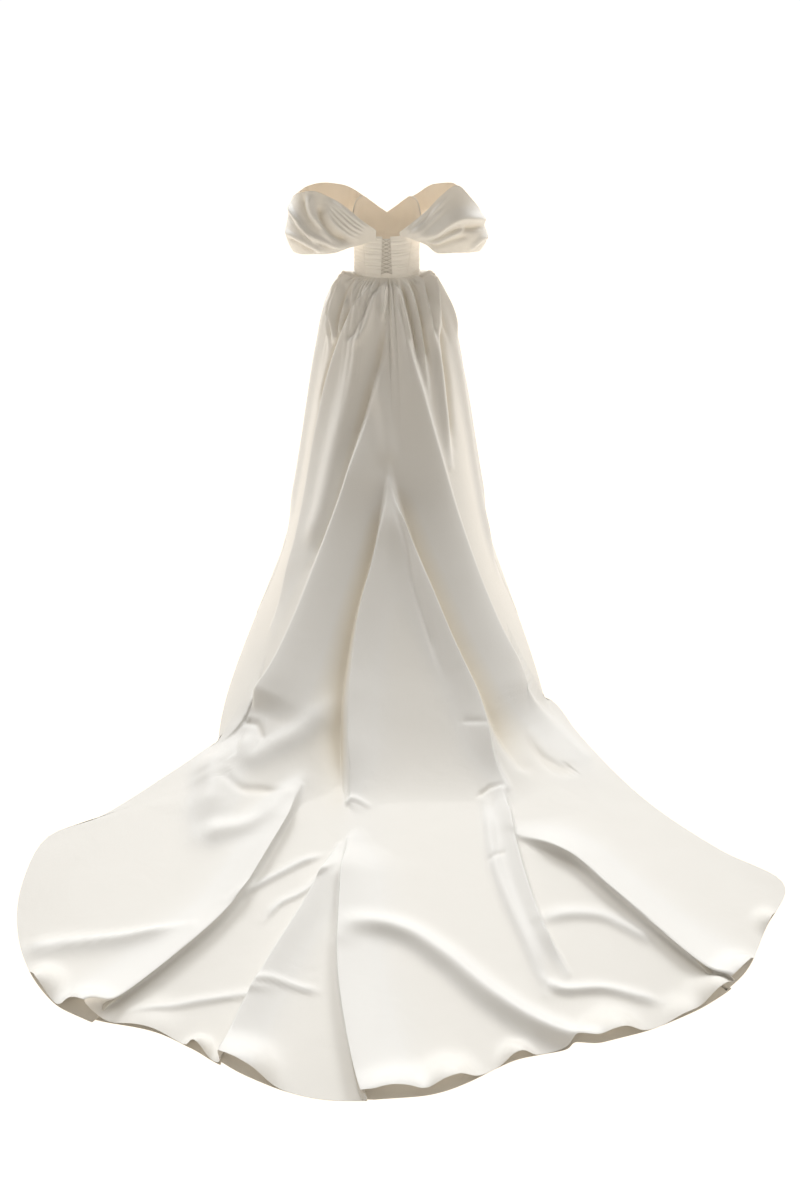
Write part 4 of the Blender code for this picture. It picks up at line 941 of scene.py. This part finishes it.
def sheet_object(name, places, stands, materials, thickness, weave_size):
    """A cloth sheet whose middle passes through a grid of points."""
    columns, rows = places.shape[:2]
    mesh = bpy.data.meshes.new(name)
    bm = bmesh.new()
    bmesh.ops.create_grid(bm, x_segments=columns - 1, y_segments=rows - 1, size=1.0)
    bm.to_mesh(mesh)
    bm.free()
    count = len(mesh.vertices)
    flat = np.empty(count * 3)
    mesh.vertices.foreach_get("co", flat)
    flat = flat.reshape(-1, 3)
    i = np.rint((flat[:, 0] + 1.0) * 0.5 * (columns - 1)).astype(int)
    j = np.rint((flat[:, 1] + 1.0) * 0.5 * (rows - 1)).astype(int)
    mesh.vertices.foreach_set("co", places[i, j].reshape(-1))
    # How far each point stands out; the cloth material paints shade where this is low.
    fold = mesh.attributes.new("stands_out", "FLOAT", "POINT")
    fold.data.foreach_set("value", stands[i, j].astype(np.float32))
    corner = np.empty(len(mesh.loops), dtype=np.int32)
    mesh.loops.foreach_get("vertex_index", corner)
    across = i[corner] / (columns - 1) * weave_size[0]
    along = j[corner] / (rows - 1) * weave_size[1]
    layer = mesh.uv_layers.new(name="cloth")
    layer.data.foreach_set("uv", np.stack([across, along], axis=1).reshape(-1).astype(np.float32))
    mesh.update()
    piece = bpy.data.objects.new(name, mesh)
    bpy.context.scene.collection.objects.link(piece)
    for material in materials:
        mesh.materials.append(material)
    for face in mesh.polygons:
        face.use_smooth = True
    if thickness:
        wall = piece.modifiers.new("wall", "SOLIDIFY")
        wall.thickness = thickness
        wall.offset = 0.0
        wall.material_offset = len(materials) - 1
    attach(piece, "root")
    return piece


def dress(places, node):
    """Hide the solid that a sheet stands for and work out the flat size that the sheet was cut to."""
    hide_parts(node)
    across = np.diff(places, axis=0)
    along = np.diff(places, axis=1)
    width = float(np.linalg.norm(across, axis=-1).sum(axis=0).max())
    length = float(np.linalg.norm(along, axis=-1).sum(axis=1).max())
    area = float(np.linalg.norm(np.cross(across[:, :-1], along[:-1]), axis=-1).sum())
    length = max(length, area / width * 1.001)
    length = min(length, area / width / 0.31)


def add_node(tree, kind, inputs=None, **values):
    """A node of a material with its values and inputs set."""
    made = tree.nodes.new(kind)
    for key, value in values.items():
        setattr(made, key, value)
    set_inputs(made, inputs or {})
    return made


def set_inputs(node, inputs):
    """Set the inputs of a node by their names."""
    for key, value in inputs.items():
        node.inputs[key].default_value = value


def cloth_material(name, colour, painted_shade, roughness, sheen, weave, wrinkle):
    """Cloth with a fine weave, soft wrinkles and painted shade, a warmer darker tone, in the depth of its
    folds.
    """
    material = bpy.data.materials.new(name)
    material.use_nodes = True
    tree = material.node_tree
    shader = tree.nodes["Principled BSDF"]
    set_inputs(shader, {
        "Roughness": roughness,
        "Sheen Weight": sheen,
        "Sheen Roughness": 0.4,
        "Specular IOR Level": 0.35,
    })
    place = add_node(tree, "ShaderNodeUVMap", uv_map="cloth")
    spot = add_node(tree, "ShaderNodeTexCoord")
    # Painted shade: the colour moves towards the shade colour where the cloth stands out least, and the
    # laces, which have no such value, get a fixed share of it.
    depth = add_node(tree, "ShaderNodeAttribute", attribute_name="stands_out")
    shade_share = add_node(tree, "ShaderNodeMapRange", {"From Min": -0.022, "From Max": 0.006})
    cloud = add_node(tree, "ShaderNodeTexNoise", {"Scale": 3.0, "Detail": 3.0})
    darker = [value * 0.97 for value in colour]
    tones = {"A": (*darker, 1.0), "B": (*colour, 1.0)}
    tone = add_node(tree, "ShaderNodeMix", tones, data_type="RGBA")
    shaded_colour = add_node(tree, "ShaderNodeMix", {"A": (*painted_shade, 1.0)}, data_type="RGBA")
    tree.links.new(depth.outputs["Fac"], shade_share.inputs["Value"])
    tree.links.new(spot.outputs["Object"], cloud.inputs["Vector"])
    tree.links.new(cloud.outputs["Fac"], tone.inputs["Factor"])
    tree.links.new(shade_share.outputs["Result"], shaded_colour.inputs["Factor"])
    tree.links.new(tone.outputs["Result"], shaded_colour.inputs["B"])
    tree.links.new(shaded_colour.outputs["Result"], shader.inputs["Base Color"])
    threads = add_node(tree, "ShaderNodeMath", operation="ADD")
    for i, way in enumerate("XY"):
        yarn = add_node(tree, "ShaderNodeTexWave", {"Scale": 320.0}, wave_type="BANDS", bands_direction=way)
        tree.links.new(place.outputs["UV"], yarn.inputs["Vector"])
        tree.links.new(yarn.outputs["Fac"], threads.inputs[i])
    fine = add_node(tree, "ShaderNodeBump", {"Strength": weave, "Distance": 0.0002})
    rumple = add_node(tree, "ShaderNodeTexNoise", {"Scale": 8.0, "Detail": 4.0, "Distortion": 0.6})
    soft = add_node(tree, "ShaderNodeBump", {"Strength": wrinkle, "Distance": 0.006})
    tree.links.new(threads.outputs["Value"], fine.inputs["Height"])
    tree.links.new(spot.outputs["Object"], rumple.inputs["Vector"])
    tree.links.new(rumple.outputs["Fac"], soft.inputs["Height"])
    tree.links.new(fine.outputs["Normal"], soft.inputs["Normal"])
    tree.links.new(soft.outputs["Normal"], shader.inputs["Normal"])
    return material


def satin():
    """The ivory satin."""
    made = bpy.data.materials.get("ivory_satin")
    if made is None:
        colour = tuple(sizes().satin)
        made = cloth_material("ivory_satin", colour, SATIN_PAINTED_SHADE, 0.42, 0.25, 0.25, 0.25)
    return made


def nude_lining():
    """The matt nude lining."""
    made = bpy.data.materials.get("nude_lining")
    if made is None:
        colour = tuple(sizes().lining)
        made = cloth_material("nude_lining", colour, LINING_PAINTED_SHADE, 0.7, 0.3, 0.3, 0.3)
    return made


def satin_cord():
    """The satin of the laces."""
    return cloth_material("satin_cord", CORD_COLOUR, CORD_PAINTED_SHADE, 0.5, 0.2, 0.3, 0.1)


def seam_place(place, runs, side):
    """Places beside a seam, a little away from it all along."""
    small = 0.002
    at = np.full(len(runs), place)
    width = base_point(at + small, runs) - base_point(at - small, runs)
    rate = np.linalg.norm(width, axis=-1) / (2.0 * small)
    return place + side * HALF_SEAM / rate


def run_rows(parts):
    """The runs of a sheet's rows."""
    rows = [np.linspace(*parts[0])]
    rows += [np.linspace(*part)[1:] for part in parts[1:]]
    return np.concatenate(rows)


class GOWN_OT_skirt(bpy.types.Operator):
    """Make the skirt front and the two backs with their train"""

    bl_idname = "gown.skirt"
    bl_label = "Skirt and train"

    def execute(self, context):
        """Make the sheets of the skirt."""
        runs = run_rows(ROWS_BACK)
        for side_name, side, guides, counts in (
            ("left", -1.0, GUIDES_LEFT, COLUMNS_LEFT),
            ("right", 1.0, GUIDES_RIGHT, COLUMNS_RIGHT),
        ):
            name = "satin_back_" + side_name
            node = "skirt_back_" + side_name
            around, run = guided(guides, counts, runs, side)
            places, stands = skirt_sheet(around, run)
            piece = sheet_object(name, places, stands, [satin()], 0.0, (2.0, 2.8))
            dress(places, node)
            facing = hem_facing(places)
            # The facing gets a fixed low stand-out value, which only paints shade on it.
            stands = np.full(facing.shape[:2], FACING_PAINTED_SHADE)
            piece = sheet_object("facing_" + side_name, facing, stands, [satin()], 0.0, (2.0, 0.1))
            dress(facing, node)
        runs = run_rows(ROWS_FRONT)
        columns = np.linspace(SIDE_SEAM, 2.0 - SIDE_SEAM, COLUMNS_FRONT)
        around, run = np.meshgrid(columns, runs, indexing="ij")
        around[0] = seam_place(SIDE_SEAM, runs, 1.0)
        around[-1] = 2.0 + seam_place(-SIDE_SEAM, runs, -1.0)
        turned = np.where(around > 1.0, around - 2.0, around)
        places, stands = skirt_sheet(turned, run)
        piece = sheet_object("satin_front", places, stands, [satin()], sizes().wall, (1.5, 1.2))
        dress(places, "skirt_front")
        return {"FINISHED"}


def ruching(angle, height):
    """How far the pleats laid across the bodice stand out."""
    sway = 0.0035 * np.sin(np.radians(angle) * 2.3 + 0.6) + 0.0015 * np.sin(np.radians(angle) * 7.0)
    level = (height + sway) / TOP_EDGE[0][1] * PLEATS_ACROSS
    level = level + 0.25 * np.sin(level * 1.7 + 0.8)
    part = level - np.floor(level)
    full = np.clip(1.0 - np.abs(2.0 * part**0.8 - 1.0) ** 2.4, 0.0, 1.0)
    uneven = 0.7 + 0.3 * np.sin(np.radians(angle) * 5.0 + np.floor(level) * 2.1)
    return PLEAT_DEPTH * full * uneven


def bodice_grid(starts, ends, columns, rows):
    """Angle, height and share of the height for a grid between two upright edges."""
    across, rise = np.meshgrid(np.linspace(0.0, 1.0, columns), np.linspace(0.0, 1.0, rows), indexing="ij")
    start = starts[0] * (1.0 - rise) + starts[1] * rise
    end = ends[0] * (1.0 - rise) + ends[1] * rise
    angle = start * (1.0 - across) + end * across
    height = BODICE_FOOT + (top_edge(angle) - BODICE_FOOT) * rise
    return angle, height, across, rise


def bodice_panel(node, from_waist, from_top, to_waist, to_top, columns):
    """One satin panel of the bodice with its ruching."""
    starts = (from_waist + PANEL_GAP, from_top + PANEL_GAP)
    ends = (to_waist - PANEL_GAP, to_top - PANEL_GAP)
    angle, height, across, rise = bodice_grid(starts, ends, columns * 6, 150)
    edge = ease(across / 0.08) * ease((1.0 - across) / 0.08) * 0.8 + 0.2
    out = ruching(angle, height) * edge * ease((1.0 - rise) / 0.05)
    places = torso_points(angle, height) + torso_outward(angle, height) * out[..., None]
    # The ruching's stand-out, lowered by 1 mm, sets the shade painted in its pleats.
    piece = sheet_object("satin_" + node, places, out - 0.001, [satin()], sizes().wall, (0.1, 0.2))
    dress(places, node)


def bodice_lining():
    """The lining of the bodice front, with a seam at the centre front."""
    angle, height, _, rise = bodice_grid((LINING_FROM,) * 2, (LINING_TO,) * 2, 100, 50)
    seam = -0.0012 * np.exp(-(((angle - 180.0) / 1.2) ** 2))
    soft = 0.0010 * np.sin(np.radians(angle) * 9.0 + rise * 5.0) * ease(rise)
    out = -(seam + np.abs(soft))
    inward = -torso_outward(angle, height, LINING_OUT) * np.abs(out)[..., None]
    places = torso_points(angle, height, LINING_OUT) + inward
    piece = sheet_object("lining_front", places, out, [nude_lining()], LINING_WALL, (0.35, 0.25))
    dress(places, "bodice_lining")


def lacing_panel():
    """The plain panel behind the lacing."""
    angles = np.linspace(-LACING_PANEL_HALF, LACING_PANEL_HALF, 24)
    heights = np.linspace(LACING_PANEL_FOOT, LACING_PANEL_TOP, 40)
    angle, height = np.meshgrid(angles, heights, indexing="ij")
    places = torso_points(angle, height, LACING_PANEL_OUT)
    flat = np.zeros(angle.shape)
    piece = sheet_object("satin_lacing_panel", places, flat, [satin()], LACING_PANEL_WALL, (0.07, 0.13))
    dress(places, "lacing_panel")


class GOWN_OT_bodice(bpy.types.Operator):
    """Make the panels of the bodice, its lining and the panel behind the lacing"""

    bl_idname = "gown.bodice"
    bl_label = "Bodice"

    def execute(self, context):
        """Make the sheets of the bodice."""
        for row in BODICE_PANELS:
            bodice_panel(*row)
        bodice_lining()
        lacing_panel()
        return {"FINISHED"}


class GOWN_OT_sleeves(bpy.types.Operator):
    """Make the two draped sleeves"""

    bl_idname = "gown.sleeves"
    bl_label = "Sleeves"

    def execute(self, context):
        """Make the sheets of the sleeves. The right one is turned, so that its satin is outside."""
        along, down = np.meshgrid(np.linspace(0.0, 1.0, 170), np.linspace(0.0, 1.0, 70), indexing="ij")
        for node, table, folds in (
            ("sleeve_left", SLEEVE_LEFT, SLEEVE_FOLDS_LEFT),
            ("sleeve_right", SLEEVE_RIGHT, SLEEVE_FOLDS_RIGHT),
        ):
            places, stands = sleeve_points(table, folds, along, down)
            if node == "sleeve_right":
                places = places[::-1]
                stands = stands[::-1]
            cloths = [satin(), nude_lining()]
            piece = sheet_object("satin_" + node, places, stands, cloths, sizes().wall, (0.9, 0.25))
            dress(places, node)
        return {"FINISHED"}


class GOWN_OT_lacing(bpy.types.Operator):
    """Make the two laces"""

    bl_idname = "gown.lacing"
    bl_label = "Lacing"

    def execute(self, context):
        """Make the cords at the centre back."""
        material = satin_cord()
        turn = np.arange(2 * LACE_TURNS + 1)
        shares = np.linspace(0.0, 1.0, len(turn))
        height = LACE_TOP + (LACE_BOTTOM - LACE_TOP) * shares
        half = LACE_HALF_TOP + (LACE_HALF_BOTTOM - LACE_HALF_TOP) * shares
        width = smooth_value(height, [row[1] for row in TORSO], [row[2] for row in TORSO])
        angle = np.degrees(np.arcsin(half / width))
        out = torso_points(angle, height, LACE_OUT)[:, 1]
        for name, side, rise in LACES:
            sway = np.cos(0.5 * math.pi * turn) * side
            curve = bpy.data.curves.new("cord_" + name, "CURVE")
            curve.dimensions = "3D"
            curve.bevel_depth = sizes().lace
            curve.bevel_resolution = 3
            curve.use_fill_caps = True
            spline = curve.splines.new("POLY")
            spline.points.add(len(turn) - 1)
            for i in turn:
                lift = rise if i % 2 == 1 else 0.0
                spline.points[int(i)].co = (half[i] * sway[i], out[i] - lift, height[i], 1.0)
            piece = bpy.data.objects.new("cord_" + name, curve)
            context.scene.collection.objects.link(piece)
            curve.materials.append(material)
            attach(piece, "root")
            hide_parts(name)
        return {"FINISHED"}


def studio_floor():
    """A wide pale floor that takes hardly any shadow."""
    mesh = bpy.data.meshes.new("studio_floor")
    bm = bmesh.new()
    bmesh.ops.create_circle(bm, cap_ends=True, segments=96, radius=40.0)
    bmesh.ops.translate(bm, verts=bm.verts, vec=(0.0, 0.0, FLOOR))
    bm.to_mesh(mesh)
    bm.free()
    floor = bpy.data.objects.new("studio_floor", mesh)
    bpy.context.scene.collection.objects.link(floor)
    pale = bpy.data.materials.new("studio_pale")
    pale.use_nodes = True
    set_inputs(pale.node_tree.nodes["Principled BSDF"], {
        "Base Color": (0.05, 0.05, 0.05, 1.0),
        "Roughness": 0.9,
        "Specular IOR Level": 0.0,
        "Emission Color": (1.30, 1.18, 1.02, 1.0),
        "Emission Strength": 1.0,
    })
    mesh.materials.append(pale)


def studio_air():
    """Light from all round, brighter and whiter from the front of the gown than from behind it."""
    world = bpy.data.worlds.new("studio_air")
    bpy.context.scene.world = world
    world.use_nodes = True
    tree = world.node_tree
    sky = tree.nodes["Background"]
    where = add_node(tree, "ShaderNodeTexCoord")
    split = add_node(tree, "ShaderNodeSeparateXYZ")
    reach = {"From Min": -0.2, "From Max": 0.8, "To Min": 0.30, "To Max": 1.05}
    fade = add_node(tree, "ShaderNodeMapRange", reach, interpolation_type="SMOOTHSTEP")
    tones = {"A": (1.0, 0.90, 0.75, 1.0), "B": (1.0, 1.0, 1.0, 1.0)}
    warm = add_node(tree, "ShaderNodeMix", tones, data_type="RGBA")
    tree.links.new(where.outputs["Generated"], split.inputs["Vector"])
    tree.links.new(split.outputs["Y"], fade.inputs["Value"])
    tree.links.new(fade.outputs["Result"], sky.inputs["Strength"])
    tree.links.new(fade.outputs["Result"], warm.inputs["Factor"])
    tree.links.new(warm.outputs["Result"], sky.inputs["Color"])


def studio_lamp(name, place, aim, width, height, power, spread):
    """One rectangular softbox aimed at a point."""
    lamp = bpy.data.lights.new(name, "AREA")
    lamp.shape = "RECTANGLE"
    lamp.size = width
    lamp.size_y = height
    lamp.energy = power
    lamp.spread = math.radians(spread)
    lamp.color = (0.97, 0.985, 1.0)
    held = bpy.data.objects.new(name, lamp)
    way = np.array(aim) - np.array(place)
    pitch = math.atan2(math.hypot(way[0], way[1]), -way[2])
    heading = math.atan2(way[0], -way[1])
    held.location = place
    held.rotation_euler = (pitch, 0.0, heading + math.pi)
    held.visible_camera = False
    bpy.context.scene.collection.objects.link(held)


def studio_camera():
    """The camera behind the gown, above it and looking down."""
    lens = bpy.data.cameras.new("studio_camera")
    lens.sensor_fit = "VERTICAL"
    lens.sensor_height = 36.0
    lens.lens = CAMERA_LENS
    lens.clip_end = 200.0
    camera = bpy.data.objects.new("studio_camera", lens)
    camera.location = CAMERA_PLACE
    camera.rotation_euler = (math.radians(90.0 - CAMERA_DOWN), 0.0, 0.0)
    bpy.context.scene.collection.objects.link(camera)
    bpy.context.scene.camera = camera


class GOWN_OT_stage(bpy.types.Operator):
    """Make the floor, the lights and the camera"""

    bl_idname = "gown.stage"
    bl_label = "Studio"

    def execute(self, context):
        """Set up a plain pale studio."""
        studio_floor()
        studio_air()
        for row in LAMPS:
            studio_lamp(*row)
        studio_camera()
        context.scene.view_settings.view_transform = "Standard"
        return {"FINISHED"}


class GOWN_PT_panel(bpy.types.Panel):
    """Sizes and steps of the gown"""

    bl_idname = "GOWN_PT_panel"
    bl_label = "Evening gown"
    bl_space_type = "VIEW_3D"
    bl_region_type = "UI"
    bl_category = "Gown"

    def draw(self, context):
        """List the sizes and the steps."""
        layout = self.layout
        chosen = context.scene.gown_sizes
        for field in ("wall", "satin", "lining", "lace"):
            layout.prop(chosen, field)
        for step in STEPS:
            layout.operator(step)


CLASSES = (
    GownSizes,
    GOWN_OT_skirt,
    GOWN_OT_bodice,
    GOWN_OT_sleeves,
    GOWN_OT_lacing,
    GOWN_OT_stage,
    GOWN_PT_panel,
)
STEPS = ("gown.skirt", "gown.bodice", "gown.sleeves", "gown.lacing", "gown.stage")


def register():
    """Register the gown's classes and sizes."""
    for kind in CLASSES:
        bpy.utils.register_class(kind)
    bpy.types.Scene.gown_sizes = bpy.props.PointerProperty(type=GownSizes)


def unregister():
    """Take the gown's classes and sizes away."""
    del bpy.types.Scene.gown_sizes
    for kind in reversed(CLASSES):
        bpy.utils.unregister_class(kind)


def main():
    """Register the gown's classes and make every piece and the studio."""
    register()
    bpy.ops.gown.skirt()
    bpy.ops.gown.bodice()
    bpy.ops.gown.sleeves()
    bpy.ops.gown.lacing()
    bpy.ops.gown.stage()


if __name__ == "__main__":
    main()
